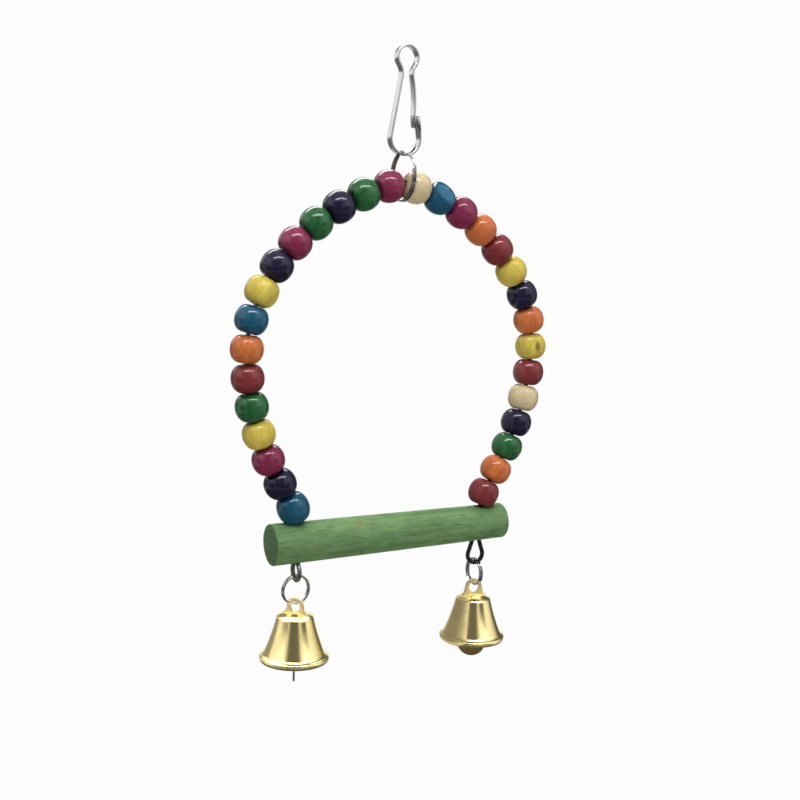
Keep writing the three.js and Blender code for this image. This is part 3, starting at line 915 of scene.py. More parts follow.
@dataclass
class SpringClip:
    """A snap clip bent from one steel strip, in millimetres and degrees.

    Its heights are from the inside top of the small loop.
    """

    width: float = 2.7
    thickness: float = 0.6
    height: float = 32.8
    loop_width: float = 6.8
    neck_width: float = 3.0
    neck_drop: float = 7.2
    neck_bend: float = 1.6
    body_width: float = 9.8
    hook_rise: float = 6.4
    hook_lean: float = 8.0
    catch_length: float = 3.6
    catch_room: float = 0.8
    cheek_depth: float = 0.45
    stop_gap: float = 0.3
    gate_lap: float = 3.4
    gate_bow: float = 0.5
    gate_overlap: float = 0.3
    gate_narrower: float = 0.04
    gate_thinner: float = 0.02
    edge: float = 0.13

    def __post_init__(self) -> None:
        """Works out the loop's and the bend's middles, the hook's end and its catch's foot."""
        self.loop_radius = self.loop_width / 2
        self.bend_radius = self.body_width / 2
        self.loop_middle = (0.0, self.thickness / 2 - self.loop_radius)
        self.bend_middle = (0.0, 1.5 * self.thickness - self.height + self.bend_radius)
        self.neck = self.neck_width / 2
        lean = math.radians(self.hook_lean)
        self.up_hook = (-math.sin(lean), math.cos(lean))
        self.into_hook = (-math.cos(lean), -math.sin(lean))
        start = arc(self.bend_middle, self.bend_radius, self.hook_lean, self.hook_lean, 1)[0]
        self.hook_end = self.along(start, self.up_hook, self.hook_rise)
        self.catch_foot = self.along(self.hook_end, self.up_hook, -self.catch_length)

    @staticmethod
    def along(point: Flat, way: Flat, length: float) -> Flat:
        """The point a length from another in a direction."""
        return (point[0] + way[0] * length, point[1] + way[1] * length)

    def hook_line(self) -> list[Flat]:
        """The middle of the strip from above the gate's bend, over the loop, to below the catch."""
        left = (-self.neck, -self.neck_drop)
        right = (self.neck, -self.neck_drop)
        loop_right = touch(self.loop_middle, self.loop_radius, right, 1)
        loop_left = touch(self.loop_middle, self.loop_radius, left, -1)
        bend_left = touch(self.bend_middle, self.bend_radius, left, 1)
        loop = arc(self.loop_middle, self.loop_radius, loop_right, loop_left % 360, 48)
        bend = arc(self.bend_middle, self.bend_radius, bend_left % 360, 360 + self.hook_lean, 48)
        start = between(right, loop[0], self.neck_bend)
        above = between(left, loop[-1], self.neck_bend)
        below = between(left, bend[0], self.neck_bend)
        limb = [between(below, bend[0], math.dist(below, bend[0]) * share) for share in (0.25, 0.5, 0.75)]
        return [start, *loop, *eased(above, left, below, 10), *limb, *bend, self.catch_foot]

    def gate_line(self) -> list[Flat]:
        """The middle of the gate's strip from the neck's bend to its tip behind the catch."""
        right = (self.neck, -self.neck_drop)
        loop_right = touch(self.loop_middle, self.loop_radius, right, 1)
        loop_end = arc(self.loop_middle, self.loop_radius, loop_right, loop_right, 1)[0]
        set_back = self.thickness + self.cheek_depth + self.stop_gap
        lapped = self.along(self.hook_end, self.into_hook, set_back)
        tip = self.along(lapped, self.up_hook, -self.gate_lap)
        run = (lapped[0] - right[0], lapped[1] - right[1])
        length = math.hypot(*run)
        bow = (-run[1] / length * 2 * self.gate_bow, run[0] / length * 2 * self.gate_bow)
        middle = ((right[0] + lapped[0]) / 2 + bow[0], (right[1] + lapped[1]) / 2 + bow[1])
        above = between(right, loop_end, self.neck_bend + self.gate_overlap)
        gate = eased(right, middle, lapped, 24)
        below = gate[2]
        return [above, *eased(between(right, loop_end, self.neck_bend), right, below, 10), *gate[3:], tip]

    def strip(self, name: str, line: Sequence[Flat], slack: float) -> bpy.types.Object:
        """Draws a line out to the strip's width.

        Args:
            name: The new piece's name.
            line: The middle of the strip.
            slack: How much narrower this strip is.

        Returns:
            The strip as one sheet of faces.
        """
        wide = self.width - slack
        piece = Bench.trace(name, lift(line, -wide / 2))
        with Bench.editing(piece):
            bpy.ops.mesh.extrude_edges_move(TRANSFORM_OT_translate={"value": (0, wide * MM, 0)})
        return piece

    def thicken(self, piece: bpy.types.Object, slack: float) -> None:
        """Gives a sheet the strip's thickness and eased edges.

        Args:
            piece: The sheet.
            slack: How much thinner this strip is.
        """
        Bench.weld(piece)
        Bench.modify(piece, "SOLIDIFY", thickness=(self.thickness - slack) * MM, offset=0,
                     use_even_offset=True)
        Bench.ease(piece, self.edge * MM, 3, 40)
        Bench.smooth(piece, 40)

    def fold_catch(self, piece: bpy.types.Object) -> None:
        """Draws the hook's last length up, and folds a cheek inward from each of its sides."""
        rise = (self.up_hook[0] * self.catch_length * MM, 0, self.up_hook[1] * self.catch_length * MM)
        depth = (self.cheek_depth + self.thickness / 2) * MM
        fold = (self.into_hook[0] * depth, 0, self.into_hook[1] * depth)
        foot = Vector((self.catch_foot[0], 0, self.catch_foot[1])) * MM
        inside = foot.x - self.catch_room * MM
        half = self.width / 2 * MM
        with Bench.picking(piece, lambda at: abs(at.x - foot.x) < NEAR and abs(at.z - foot.z) < NEAR):
            bpy.ops.mesh.extrude_edges_move(TRANSFORM_OT_translate={"value": rise})
        for edge in (-half, half):
            with Bench.picking(
                piece, lambda at: at.z > foot.z - NEAR and at.x > inside and abs(at.y - edge) < NEAR
            ):
                bpy.ops.mesh.extrude_edges_move(TRANSFORM_OT_translate={"value": fold})

    def build(self) -> None:
        """Makes the hook, and the gate that bends from the loop's end."""
        hook = self.strip("spring_clip_hook", self.hook_line(), 0)
        self.fold_catch(hook)
        self.thicken(hook, 0)
        fit(hook, "clip_hook", "clip", NICKEL)
        gate = self.strip("spring_clip_gate", self.gate_line(), self.gate_narrower)
        self.thicken(gate, self.gate_thinner)
        fit(gate, "clip_gate", None, NICKEL)
        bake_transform(gate)


@dataclass
class SplitRing:
    """A ring of nearly two close turns of wire, in millimetres and degrees.

    The turns cross over along the jog, whose middle is jog_at degrees from the ring's top.
    """

    node: str
    body: str
    diameter: float
    gauge: float
    jog: float
    jog_at: float
    turn: float
    spread: float = 0.06
    step: float = 5

    def line(self) -> list[Vector]:
        """The middle of the wire about the ring's own middle, from end to end."""
        radius = (self.diameter - self.gauge) / 2
        length = 720 - self.jog
        steps = round(length / self.step)
        points = []
        for step in range(steps + 1):
            turned = length * step / steps
            angle = math.radians(self.jog_at + self.jog / 2 + turned)
            share = min(1.0, max(0.0, (turned - 360 + self.jog) / self.jog))
            across = (self.gauge + self.spread) * (share * share * (3 - 2 * share) - 0.5)
            points.append(Vector((radius * math.sin(angle), across, radius * math.cos(angle))) * MM)
        return points

    def build(self) -> None:
        """Coils the ring where its solid is."""
        low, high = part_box(self.node)
        piece = Bench.wire(f"{self.node}_coil", self.line(), self.gauge * MM, 14)
        Bench.settle(piece, swivel((low + high) / 2, self.turn))
        fit(piece, self.node, self.body, NICKEL)


@dataclass
class ArchWire:
    """The iron wire: an arch of five tangent arcs a side, two legs and an eye turned at each end.

    Crown, brow and shoulder are a radius in millimetres and a sweep in degrees. An eye is the angle where
    its round ends and the straight length past there.
    """

    joints: Joints
    gauge: float = 1.4
    crown: Flat = (18, 15.5)
    brow: Flat = (65, 43.5)
    shoulder: Flat = (42, 35)
    leg_sweep: float = 31.5
    foot_radius: float = 8
    foot_lead: float = 1
    first_bead: float = 4.6
    bead_pitch: float = 8.67
    beads: int = 15
    eye_radius: float = 2.75
    eye_offset: float = 1.2
    eye_bend: float = 0.6
    left_eye: Flat = (45, 1.1)
    right_eye: Flat = (19, 4.1)

    def half(self) -> list[Flat]:
        """One side of the arch from the crown to the upright leg, in millimetres from the crown."""
        upper = [(radius * math.radians(sweep), math.radians(sweep))
                 for radius, sweep in (self.crown, self.brow, self.shoulder)]
        last = self.first_bead + self.bead_pitch * (self.beads - 1)
        leg = last - self.foot_lead - sum(length for length, _ in upper)
        back = sum(bend for _, bend in upper) + math.radians(self.leg_sweep) - math.pi / 2
        arcs = [*upper, (leg, math.radians(self.leg_sweep)), (self.foot_radius * back, -back)]
        x, z, heading = 0.0, 0.0, 0.0
        points = [(x, z)]
        for length, bend in arcs:
            steps = max(8, round(length))
            for step in range(1, steps + 1):
                ahead = heading + bend * step / steps
                rate = bend / length
                points.append((x + (math.sin(ahead) - math.sin(heading)) / rate,
                               z + (math.cos(ahead) - math.cos(heading)) / rate))
            x, z = points[-1]
            heading += bend
        return points

    def eye(self, bottom: float, angle: float, end: float) -> list[Flat]:
        """A leg's end from above its bend round to its tip.

        Args:
            bottom: Height of the middle of the wire at the eye's bottom.
            angle: Degrees up each side to where the eye's round ends.
            end: Straight length past the round.

        Returns:
            Points across from the leg, and their heights, in millimetres.
        """
        middle = (-self.eye_offset, bottom + self.eye_radius)
        round_at = math.radians(angle)
        straight = (self.eye_radius * math.cos(round_at) - self.eye_offset) / math.sin(round_at)
        bend = (0.0, middle[1] + self.eye_radius * math.sin(round_at) + straight * math.cos(round_at))
        turn = arc(middle, self.eye_radius, angle, -180 - angle, 60)
        start = (0.0, bend[1] + self.eye_bend)
        tip = (turn[-1][0] + end * math.sin(round_at), turn[-1][1] + end * math.cos(round_at))
        return [*eased(start, bend, between(bend, turn[0], self.eye_bend), 8), *turn, tip]

    def build(self) -> None:
        """Bends the whole wire from the left eye's tip to the right eye's tip."""
        crown = self.joints.at("frame_swing").z / MM
        half = [(x, z + crown) for x, z in self.half()]
        out = half[-1][0]
        left = self.eye(self.joints.at("left_ring_swing").z / MM, *self.left_eye)
        right = self.eye(self.joints.at("right_ring_swing").z / MM, *self.right_eye)
        leg_left = [point for point in half if point[1] > left[0][1]]
        leg_right = [point for point in half if point[1] > right[0][1]]
        line = [Vector((-out, across, z)) for across, z in reversed(left)]
        line += [Vector((-x, 0, z)) for x, z in reversed(leg_left)]
        line += [Vector((x, 0, z)) for x, z in leg_right[1:]]
        line += [Vector((out + across, 0, z)) for across, z in right]
        piece = Bench.wire("arch_bent_wire", [at * MM for at in line], self.gauge * MM, 16)
        fit(piece, "arch_wire", "frame", IRON)


@dataclass
class BeadString:
    """Thirty turned beads, counted down from the crown on each side. Lengths are in millimetres."""

    joints: Joints
    perch: "Perch"
    diameter: float = 10.1
    length: float = 8.1
    bore: float = 2.6
    face: float = 2.1
    rim: float = 0.25
    round_steps: int = 32
    widths: Flat = (0.985, 1.01)
    ovals: Flat = (0.99, 1.01)
    slack: float = 0.05
    slide: float = 1.0
    settle: float = 0.45
    chipped: tuple[Side, int] = (Side.RIGHT, 2)
    chip_way: Colour = (0.32, -0.73, 0.6)
    chip_depth: float = 3.1
    knotted: tuple[Side, int] = (Side.RIGHT, 9)
    knot_way: Colour = (-0.06, -1, 0.05)
    left: tuple[BeadColour, ...] = (
        BeadColour.MAGENTA, BeadColour.GREEN, BeadColour.PURPLE, BeadColour.GREEN, BeadColour.MAGENTA,
        BeadColour.PURPLE, BeadColour.YELLOW, BeadColour.BLUE, BeadColour.ORANGE, BeadColour.RED,
        BeadColour.GREEN, BeadColour.YELLOW, BeadColour.MAGENTA, BeadColour.PURPLE, BeadColour.BLUE)
    right: tuple[BeadColour, ...] = (
        BeadColour.CREAM, BeadColour.BLUE, BeadColour.MAGENTA, BeadColour.ORANGE, BeadColour.RED,
        BeadColour.YELLOW, BeadColour.PURPLE, BeadColour.ORANGE, BeadColour.YELLOW, BeadColour.RED,
        BeadColour.CREAM, BeadColour.PURPLE, BeadColour.GREEN, BeadColour.ORANGE, BeadColour.RED)

    def profile(self) -> list[Flat]:
        """The turned outline from the bore's lower edge over the round to its upper edge and back."""
        half = self.length / 2
        inner = self.bore / 2
        rim = self.rim
        bulge = self.diameter / 2 - self.face
        points = [(inner, rim - half), *eased((inner, rim - half), (inner, -half), (inner + rim, -half), 4)]
        for step in range(self.round_steps + 1):
            angle = math.pi * (step / self.round_steps - 0.5)
            points.append((self.face + bulge * math.cos(angle), half * math.sin(angle)))
        points += eased((inner + rim, half), (inner, half), (inner, half - rim), 4)
        return [*points, points[0]]

    def stand(self, count: int) -> tuple[Vector, Vector]:
        """Where a bead on the right is, slid a little along the axis that it spins on.

        Args:
            count: The bead's count.

        Returns:
            Its middle in millimetres and the way to the next bead.
        """
        share = (count - 1) / (len(self.left) - 1)
        slid = self.slide * math.sin(math.pi * share) + self.settle * share
        way = self.joints.axis(f"spin_right_{count:02d}")
        if way.z > 0:
            way.negate()
        return self.joints.at(f"spin_right_{count:02d}") / MM + way * slid, way

    def room(self, first: int, second: int) -> float:
        """Half length that two neighbours may have before their inner rims touch.

        Args:
            first: One bead's count.
            second: The next bead's.

        Returns:
            The half length in millimetres.
        """
        here, way = self.stand(first)
        there, on = self.stand(second)
        lean = way.angle(on) / 2
        reach = (there - here).length / 2 - self.slack - self.face * math.sin(lean)
        corner = (self.diameter / 2 - self.face) * math.sin(lean)
        return math.sqrt(reach**2 - corner**2) / math.cos(lean)

    def build(self) -> None:
        """Turns one bead and copies it along the wire, each a little different."""
        pattern = Bench.trace("bead_pattern", lift(self.profile()))
        Bench.turn(pattern, 48)
        Bench.smooth(pattern, 50)
        counts = range(1, len(self.left) + 1)
        rooms = [self.length / 2, *[self.room(count, count + 1) for count in counts[:-1]]]
        for side, colours in ((Side.LEFT, self.left), (Side.RIGHT, self.right)):
            hand = -1 if side is Side.LEFT else 1
            foot, _ = self.stand(len(colours))
            last = foot.z - self.perch.top(hand * foot.x) - self.slack
            for count, colour, above, below in zip(counts, colours, rooms, [*rooms[1:], last]):
                piece = self.string(pattern, f"{side.value}_{count:02d}", above, below)
                at, way = self.stand(count)
                place = Matrix.Translation(Vector((hand * at.x, 0, at.z)) * MM)
                down = Vector((hand * way.x, 0, way.z))
                Bench.settle(piece, place @ down.to_track_quat("-Z", "Y").to_matrix().to_4x4())
                finish = colour.value
                if (side, count) == self.chipped:
                    self.chip(piece, place.translation)
                    finish = replace(finish, variant="chipped", chipped=True)
                if (side, count) == self.knotted:
                    finish = replace(finish, variant="knotted", knot=self.knot(piece))
                fit(piece, f"bead_{side.value}_{count:02d}", f"bead_{side.value}_{count:02d}_spin", finish)
        bpy.data.objects.remove(pattern)

    def string(self, pattern: bpy.types.Object, place: str, above: float, below: float) -> bpy.types.Object:
        """Copies the turned bead and gives it its own length, width and turn.

        Args:
            pattern: The turned bead.
            place: The bead's side and count.
            above: Length from its middle to the bead above, in millimetres.
            below: Length from its middle to what is below.

        Returns:
            The bead, upright about the origin.
        """
        chance = random.Random(f"bead {place}")
        piece = Bench.copy(pattern, f"turned_bead_{place}")
        lot = chance.random()
        piece.data.attributes.new("turned", "FLOAT_VECTOR", "POINT")
        piece.data.attributes.new("lot", "FLOAT", "POINT")
        turned, number = piece.data.attributes["turned"], piece.data.attributes["lot"]
        for vertex in piece.data.vertices:
            turned.data[vertex.index].vector = vertex.co / MM
            number.data[vertex.index].value = lot
        spin = Quaternion((0, 0, 1), chance.uniform(0, math.tau))
        wide = chance.uniform(*self.widths)
        size = Vector((wide, wide * chance.uniform(*self.ovals), (above + below) / self.length))
        Bench.settle(piece, Matrix.LocRotScale(Vector((0, 0, (above - below) / 2 * MM)), spin, size))
        return piece

    def knot(self, piece: bpy.types.Object) -> Colour:
        """Finds where on the turned bead its knot is.

        Args:
            piece: The bead, in its place.

        Returns:
            The place on the bead as it was turned, in millimetres.
        """
        way = Vector(self.knot_way)
        facing = max(piece.data.vertices, key=lambda vertex: vertex.co.dot(way))
        return tuple(piece.data.attributes["turned"].data[facing.index].vector)

    def chip(self, piece: bpy.types.Object, middle: Vector) -> None:
        """Takes a flat off one bead, as its blank was too small.

        Args:
            piece: The bead, in its place.
            middle: Its middle.
        """
        way = Vector(self.chip_way).normalized()
        with Bench.editing(piece):
            bpy.ops.mesh.bisect(plane_co=middle + way * self.chip_depth * MM, plane_no=way, use_fill=True,
                                clear_outer=True)
        Bench.smooth(piece, 30)


@dataclass
class Perch:
    """A sawn dowel, a little thicker at its left end, drilled upright for the wire's two legs.

    Lengths are in millimetres, and the slope is in degrees.
    """

    hole: float = 2.6
    leg_out: float = 32.51
    edge: float = 0.5
    left_diameter: float = 12.7
    right_diameter: float = 11.3
    slope: float = 1.0
    unevenness: float = 0.14
    wave_length: float = 9
    sides: int = 96
    rings: int = 40

    def top(self, x: float) -> float:
        """Height of the dowel's top, in millimetres, at a place along it."""
        low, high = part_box("perch")
        share = (x * MM - low.x) / (high.x - low.x)
        radius = (self.left_diameter + (self.right_diameter - self.left_diameter) * share) / 2
        return (low.z + high.z) / 2 / MM + x * math.tan(math.radians(self.slope)) + radius

    def build(self) -> None:
        """Saws the dowel, eases its ends, drills it and lets its surface wander."""
        low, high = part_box("perch")
        middle = (low + high) / 2
        length = high.x - low.x
        Bench.clear()
        bpy.ops.mesh.primitive_cone_add(
            vertices=self.sides, radius1=self.left_diameter / 2 * MM, radius2=self.right_diameter / 2 * MM,
            depth=length, rotation=(0, math.pi / 2, 0))
        piece = Bench.label("dowel_perch")
        bpy.ops.object.transform_apply(location=True, rotation=True, scale=True)
        for ring in range(1, self.rings):
            with Bench.editing(piece):
                bpy.ops.mesh.bisect(plane_co=(length * (ring / self.rings - 0.5), 0, 0), plane_no=(1, 0, 0))
        for way in (-1, 1):
            with Bench.picking(piece, lambda at: at.x * way > length / 2 - NEAR):
                bpy.ops.mesh.bevel(offset=self.edge * MM, segments=4, affect="EDGES")
        waves = bpy.data.textures.new("dowel_waves", "CLOUDS")
        waves.noise_scale = self.wave_length * MM
        Bench.modify(piece, "DISPLACE", texture=waves, texture_coords="LOCAL",
                     strength=self.unevenness * MM, mid_level=0.5)
        Bench.settle(piece, Matrix.Translation(middle) @ Matrix.Rotation(math.radians(-self.slope), 4, "Y"))
        for way in (-1, 1):
            at = Vector((way * self.leg_out * MM, 0, middle.z))
            Bench.drill(piece, at, Vector((0, 0, 0)), self.hole * MM, 3 * self.left_diameter * MM)
        Bench.smooth(piece, 40)
        fit(piece, "perch", "frame", DowelStain("perch_stain", length / 2 / MM, middle.z / MM))


@dataclass
class Bell:
    """A spun brass bell on a stamped hanger, with a paddle clapper on a wire link.

    Lengths are in millimetres, and turns are in degrees about the vertical.
    """

    side: Side
    joints: Joints
    tab_turn: float
    link_turn: float
    clapper_turn: float
    height: float = 14
    crown_radius: float = 5.65
    dome: float = 1.15
    waist_radius: float = 9.1
    waist_drop: float = 10.9
    lip_radius: float = 10.7
    wall: float = 0.5
    plate: float = 0.6
    edge: float = 0.12
    hole_height: float = 3.4
    tab_top_radius: float = 2.9
    tab_foot: float = 8.6
    foot_height: float = 0.8
    tab_hole: float = 3.2
    neck: float = 4
    ear: float = 1
    ear_height: float = 0.8
    crown_wall: float = 0.7
    tail_drop: float = 3
    link_hole: float = 2.2
    link_rim: float = 0.9
    link_radius: float = 1.8
    link_gauge: float = 0.7
    link_squeeze: float = 0.97
    link_gap: float = 12
    disc: float = 9.2
    reach: float = 7.4
    stem: float = 2.6
    seat: float = 0.35

    def shell_line(self) -> list[Flat]:
        """The shell's section from the middle of the crown, round the lip, to the crown's underside."""
        crown, lip = self.crown_radius, self.lip_radius
        bottom, ceiling = -self.height, -self.crown_wall
        waist = (self.waist_radius, -self.waist_drop)
        flare = (lip - 0.42, bottom + 1.75)
        side = (lip, bottom + 1.0)
        rim = (lip - 0.55, bottom)
        inner_rim = (lip - 0.95, bottom + 0.5)
        inner_waist = (waist[0] - self.wall, waist[1])
        shoulder = (crown - 0.35, -1.5)
        line = eased((0.0, self.dome), (crown * 0.58, self.dome), (crown - 0.5, 0.05), 12)
        line += eased((crown - 0.42, 0.0), (crown - 0.02, 0.0), (crown + 0.1, -0.55), 6)
        for start, corner, end, steps in (
            ((crown + 0.11, -0.6), (crown + 1.5, -6.2), waist, 16),
            (waist, (waist[0] + 0.4, flare[1] + 0.15), flare, 10),
            ((flare[0] + 0.04, flare[1] - 0.06), (lip, flare[1] - 0.12), side, 6),
            (side, (lip + 0.02, bottom + 0.05), rim, 8),
            (rim, (inner_rim[0], bottom), inner_rim, 5),
            (inner_rim, (waist[0] + 0.1, -12.5), inner_waist, 10),
            (inner_waist, (crown + 1.0, -6.0), shoulder, 12),
            (shoulder, (crown - 0.7, ceiling), (crown - 1.6, ceiling), 6),
        ):
            line += eased(start, corner, end, steps)[1:]
        return [*line, (0.0, ceiling)]

    def hanger_line(self) -> list[Flat]:
        """The hanger's outline, with the crown's top at height 0."""
        top = (0.0, self.hole_height)
        foot = (self.tab_foot / 2, self.foot_height)
        side = self.tab_top_radius
        flare = eased(foot, (side + 0.35, foot[1] + 0.3), (side, self.hole_height - 0.2), 10)
        neck = self.neck / 2
        ear = neck + self.ear
        ear_top = -self.crown_wall - 0.05
        ear_foot = ear_top - self.ear_height
        tail = (0.0, -self.crown_wall - self.tail_drop)
        return [
            *flare, *arc(top, side, 0, 180, 28), *[(-x, z) for x, z in reversed(flare)],
            (-neck, foot[1]), (-neck, ear_top), (-ear, ear_top), (-ear, ear_foot),
            *arc(tail, self.link_hole / 2 + self.link_rim, 180, 360, 20),
            (ear, ear_foot), (ear, ear_top), (neck, ear_top), (neck, foot[1])]

    def clapper_line(self) -> list[Flat]:
        """The clapper's outline, with its eyelet's hole at height 0."""
        eyelet = self.link_hole / 2 + self.link_rim
        at_eyelet = math.degrees(math.asin(self.stem / 2 / eyelet))
        at_disc = math.degrees(math.asin(self.stem / self.disc))
        return [
            *arc((0, 0), eyelet, at_eyelet - 90, 270 - at_eyelet, 24),
            *arc((0, -self.reach), self.disc / 2, 90 + at_disc, 450 - at_disc, 48)]

    def build(self) -> None:
        """Makes the shell, its hanger, the link and the clapper."""
        name = self.side.value
        hole = self.hole_height
        crown = self.joints.at(f"{name}_bell_swing") - Vector((0, 0, hole)) * MM
        shell = Bench.trace(f"{name}_spun_bell", lift(self.shell_line()))
        Bench.turn(shell, 96)
        Bench.smooth(shell, 45)
        Bench.settle(shell, Matrix.Translation(crown))
        fit(shell, f"{name}_bell_shell", f"{name}_bell", BRASS)

        tail = (0.0, -self.crown_wall - self.tail_drop)
        holes = [((0.0, hole), self.tab_hole), (tail, self.link_hole)]
        hanger = Bench.plate(f"{name}_stamped_hanger", self.hanger_line(), self.plate, holes, self.edge)
        Bench.settle(hanger, swivel(crown, self.tab_turn))
        fit(hanger, f"{name}_bell_hanger", f"{name}_bell", HANGER)

        pivot = self.joints.at(f"{name}_clapper_swing")
        hang = self.link_hole / 2 - self.seat - self.link_gauge / 2
        bent = arc((0, 0), self.link_radius, self.link_gap / 2, 360 - self.link_gap / 2, 48)
        ring = [(x * self.link_squeeze, z) for x, z in bent]
        link = Bench.wire(f"{name}_wire_link", lift(ring), self.link_gauge * MM, 12)
        Bench.settle(link, swivel(pivot - Vector((0, 0, hang + self.link_radius)) * MM, self.link_turn))
        fit(link, f"{name}_clapper_link", f"{name}_striker", CLAPPER)

        paddle = Bench.plate(f"{name}_stamped_clapper", self.clapper_line(), self.plate,
                             [((0.0, 0.0), self.link_hole)], self.edge)
        drop = 2 * hang + 2 * self.link_radius
        Bench.settle(paddle, swivel(pivot - Vector((0, 0, drop)) * MM, self.clapper_turn))
        fit(paddle, f"{name}_clapper", f"{name}_striker", CLAPPER)


# Studio


@dataclass(frozen=True)
class Stand:
    """Something that stands around the swing and faces it: angles in degrees, lengths in metres."""

    name: str
    azimuth: float
    elevation: float
    distance: float
    width: float
    depth: float


@dataclass(frozen=True)
class Lamp(Stand):
    """A soft lamp, aimed at the swing's middle. It isn't mirrored: the cards are."""

    power: float


@dataclass(frozen=True)
class Flag(Stand):
    """A dim or bright studio card, seen only in reflections.

    It faces the swing's middle, or a spot of its own, which is measured from the middle of the perch.
    """

    shade: float
    faces: Colour = (0, 0, 0.04)
    front_only: bool = False
    core: float = 0.55


@dataclass
class Studio:
    """A pale floor in a white room, soft lamps, cards and the camera at the photograph's angle.

    The middles that lamps and tunnel face are heights above the perch, in metres.
    """

    perch_height: float
    azimuth: float = -27.201
    elevation: float = 7.717
    distance: float = 0.366399
    roll: float = 1.985
    focal: float = 1173.122
    aim: tuple[float, float] = (0.001592, 0.042132)
    frame_pixels: float = 800
    sensor: float = 36
    nearest: float = 0.01
    floor_size: float = 8
    floor_drop: float = 0.5
    floor_paint: Colour = (0.9, 0.9, 0.9)
    floor_white: float = 0.97
    backdrop_white: float = 0.98
    ambient: float = 0.13
    lamp_middle: float = 0.05
    lamps: tuple[Lamp, ...] = (
        Lamp("front_top", -10, 57, 0.8, 0.8, 0.5, 5.1),
        Lamp("back_top", 160, 76, 0.8, 0.9, 0.7, 2.6),
        Lamp("back_fill", 160, 28, 0.9, 0.8, 0.6, 2.2),
        Lamp("floor_bounce", -20, -42, 0.8, 1.0, 0.6, 1.8),
    )
    flags: tuple[Flag, ...] = (
        Flag("camera_card", -27.2, 12, 0.85, 1.1, 1.5, 0.12),
        Flag("low_front_card", -27.2, -14, 0.88, 6.0, 1.0, 0.05),
        Flag("floor_card", 0, -90, 0.3, 1.4, 1.4, 0.12),
        Flag("left_window", -152, 25, 0.53, 0.36, 0.3, 1.9),
        Flag("low_left_card", -152, -5, 0.5, 0.6, 0.36, 0.3),
        Flag("right_front_card", 27, -2, 0.6, 0.4, 0.24, 0.04),
        Flag("left_side_card", -92, 30, 0.9, 0.9, 0.7, 2.2),
        Flag("right_side_card", 38, 30, 0.9, 0.9, 0.7, 1.9),
        Flag("streak_card", -12, 60, 0.7, 0.9, 0.12, 28),
        Flag("rim_card", -177, 50, 0.6, 1.0, 0.2, 13),
        Flag("bell_card", -125, 16, 0.028, 0.16, 0.16, 0.24, faces=(0.0313, 0, -0.0285),
             front_only=True, core=0.1),
    )
    tunnel_middle: float = 0.04
    tunnel_radius: float = 0.62
    tunnel_depth: float = 1.3
    tunnel_shade: float = 0.1
    tunnel_mouth: float = 0.4

    @staticmethod
    def towards(azimuth: float, elevation: float) -> Vector:
        """Direction from the swing to a lamp or the camera."""
        a, e = math.radians(azimuth), math.radians(elevation)
        return Vector((math.sin(a) * math.cos(e), -math.cos(a) * math.cos(e), math.sin(e)))

    @staticmethod
    def facing(spot: Vector, way: Vector, distance: float) -> dict:
        """Says where a thing is added and how it is turned.

        Args:
            spot: What the thing faces.
            way: Direction from there to the thing.
            distance: How far away it is.

        Returns:
            Its location and its rotation.
        """
        return {"location": spot + way * distance, "rotation": way.to_track_quat("Z", "Y").to_euler()}

    def set_camera(self) -> None:
        """Puts the camera where the photograph was taken from."""
        back = self.towards(self.azimuth, self.elevation)
        right = (-back).cross(Vector((0, 0, 1))).normalized()
        up = right.cross(-back)
        lean = math.radians(self.roll)
        across = right * math.cos(lean) + up * math.sin(lean)
        over = up * math.cos(lean) - right * math.sin(lean)
        place = Matrix((across, over, back)).transposed().to_4x4()
        aim = Vector((self.aim[0], 0, self.aim[1] + self.perch_height))
        place.translation = aim + back * self.distance
        Bench.clear()
        bpy.ops.object.camera_add()
        camera = bpy.context.active_object
        camera.matrix_world = place
        camera.data.sensor_width = self.sensor
        camera.data.lens = self.focal * self.sensor / self.frame_pixels
        camera.data.clip_start = self.nearest
        bpy.context.scene.camera = camera

    def hang_lamps(self) -> None:
        """Hangs the lamps around the swing."""
        middle = Vector((0, 0, self.perch_height + self.lamp_middle))
        for lamp in self.lamps:
            way = self.towards(lamp.azimuth, lamp.elevation)
            Bench.clear()
            bpy.ops.object.light_add(type="AREA", **self.facing(middle, way, lamp.distance))
            light = bpy.context.active_object
            light.name = lamp.name
            light.data.shape = "RECTANGLE"
            light.data.size = lamp.width
            light.data.size_y = lamp.depth
            light.data.energy = lamp.power
            light.visible_glossy = False

    @staticmethod
    def dim(
        card: bpy.types.Object, shade: float, fade: Callable[[Graph], Signal], front_only: bool = False
    ) -> None:
        """Gives a card a shade that fades to white at its border, and shows it in reflections alone.

        Args:
            card: The card.
            shade: Its brightness, where 1 is white.
            fade: Writes how far a place on the card has faded, from 0 to 1.
            front_only: Whether the card's back is clear.
        """
        material, graph = blank(card.name)
        level = shade + fade(graph) * (1 - shade)
        glow = graph.out("ShaderNodeEmission", 0, {}, {"Color": WHITE, "Strength": level})
        if front_only:
            clear = graph.out("ShaderNodeBsdfTransparent", 0)
            behind = graph.out("ShaderNodeNewGeometry", "Backfacing")
            glow = graph.out("ShaderNodeMixShader", 0, {}, {0: behind, 1: clear, 2: glow})
        graph.surface(glow)
        card.data.materials.append(material)
        card.visible_camera = False
        card.visible_diffuse = False
        card.visible_shadow = False
        card.visible_transmission = False

    @staticmethod
    def border(graph: Graph, core: float) -> Signal:
        """Fades a card from its core towards its four edges.

        Args:
            graph: The card's tree.
            core: Share of the card's width that doesn't fade.

        Returns:
            How far a place has faded, from 0 to 1.
        """
        at = graph.local()
        out = graph.math("MAXIMUM", abs(graph.axis(at, "X")), abs(graph.axis(at, "Y")))
        return out.rise(core / 2, 0.5)

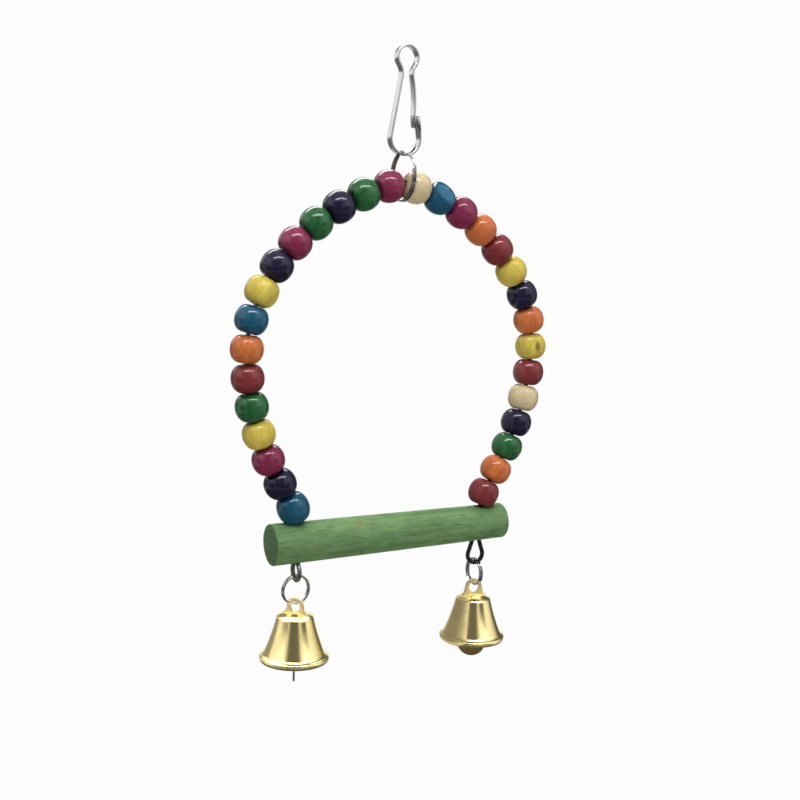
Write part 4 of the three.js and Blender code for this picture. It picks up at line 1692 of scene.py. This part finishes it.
    def mouth(self, graph: Graph) -> Signal:
        """Fades the tunnel towards its open front."""
        deep = graph.axis(graph.local(), "Z")
        return deep.rise(self.tunnel_depth * (0.5 - self.tunnel_mouth), self.tunnel_depth / 2)

    def hang_flags(self) -> None:
        """Hangs the cards around the swing."""
        for flag in self.flags:
            way = self.towards(flag.azimuth, flag.elevation)
            spot = Vector((0, 0, self.perch_height)) + Vector(flag.faces)
            Bench.clear()
            bpy.ops.mesh.primitive_plane_add(size=1, **self.facing(spot, way, flag.distance))
            card = bpy.context.active_object
            card.name = flag.name
            card.scale = (flag.width, flag.depth, 1)
            self.dim(card, flag.shade, lambda graph: self.border(graph, flag.core), flag.front_only)

    def set_tunnel(self) -> None:
        """Sets a dim tunnel behind the swing, with the white room at its end."""
        back = self.towards(self.azimuth, self.elevation)
        middle = Vector((0, 0, self.perch_height + self.tunnel_middle))
        Bench.clear()
        bpy.ops.mesh.primitive_cylinder_add(
            vertices=64, radius=self.tunnel_radius, depth=self.tunnel_depth, end_fill_type="NOTHING",
            **self.facing(middle, back, -self.tunnel_depth / 2))
        tunnel = bpy.context.active_object
        tunnel.name = "back_tunnel"
        self.dim(tunnel, self.tunnel_shade, self.mouth)

    def light_world(self) -> None:
        """White where it is seen, and a plain grey level of light on the swing."""
        world = bpy.data.worlds.new("white_room")
        world.use_nodes = True
        bpy.context.scene.world = world
        graph = Graph(world.node_tree)
        seen = graph.seen()
        plain, white = (
            graph.out("ShaderNodeBackground", 0, {}, {"Color": WHITE, "Strength": strength})
            for strength in (self.ambient, self.backdrop_white))
        shown = graph.out("ShaderNodeMixShader", 0, {}, {0: seen, 1: plain, 2: white})
        graph.node("ShaderNodeOutputWorld", {}, {"Surface": shown})

    def lay_floor(self) -> None:
        """Lays a pale floor well below the bells."""
        Bench.clear()
        bpy.ops.mesh.primitive_grid_add(
            x_subdivisions=8, y_subdivisions=8, size=self.floor_size,
            location=(0, 0, self.perch_height - self.floor_drop))
        floor = bpy.context.active_object
        floor.name = "pale_floor"
        material, graph = blank(floor.name)
        seen = graph.seen()
        paint = graph.out("ShaderNodeBsdfDiffuse", 0, {}, {"Color": (*self.floor_paint, 1)})
        white = graph.out("ShaderNodeEmission", 0, {}, {"Color": WHITE, "Strength": 1.0})
        both = {0: seen * self.floor_white, 1: paint, 2: white}
        graph.surface(graph.out("ShaderNodeMixShader", 0, {}, both))
        floor.data.materials.append(material)

    def build(self) -> None:
        """Sets the whole studio."""
        bpy.context.scene.view_settings.view_transform = "Standard"
        self.set_camera()
        self.hang_lamps()
        self.hang_flags()
        self.set_tunnel()
        self.light_world()
        self.lay_floor()


def main() -> None:
    """Builds the swing on its frame, piece by piece."""
    logging.basicConfig(level=logging.INFO, format="%(name)s %(message)s")
    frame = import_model()
    joints = Joints({row["name"]: row for row in frame["joints"]})
    low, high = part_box("perch")
    Studio((low.z + high.z) / 2).build()
    SpringClip().build()
    SplitRing("top_split_ring", "top_ring", 15.6, 0.75, 50, -48, 90).build()
    SplitRing("left_bell_ring", "left_ring", 9.5, 0.7, 110, 180, 6).build()
    SplitRing("right_bell_ring", "right_ring", 9.2, 0.7, 110, 180, 91).build()
    ArchWire(joints).build()
    perch = Perch()
    perch.build()
    BeadString(joints, perch).build()
    Bell(Side.LEFT, joints, tab_turn=-50, link_turn=1, clapper_turn=68,
         hole_height=2.75, tail_drop=3.65, dome=0.85, foot_height=0.55).build()
    Bell(Side.RIGHT, joints, tab_turn=-13, link_turn=68, clapper_turn=-31).build()


if __name__ == "__main__":
    main()
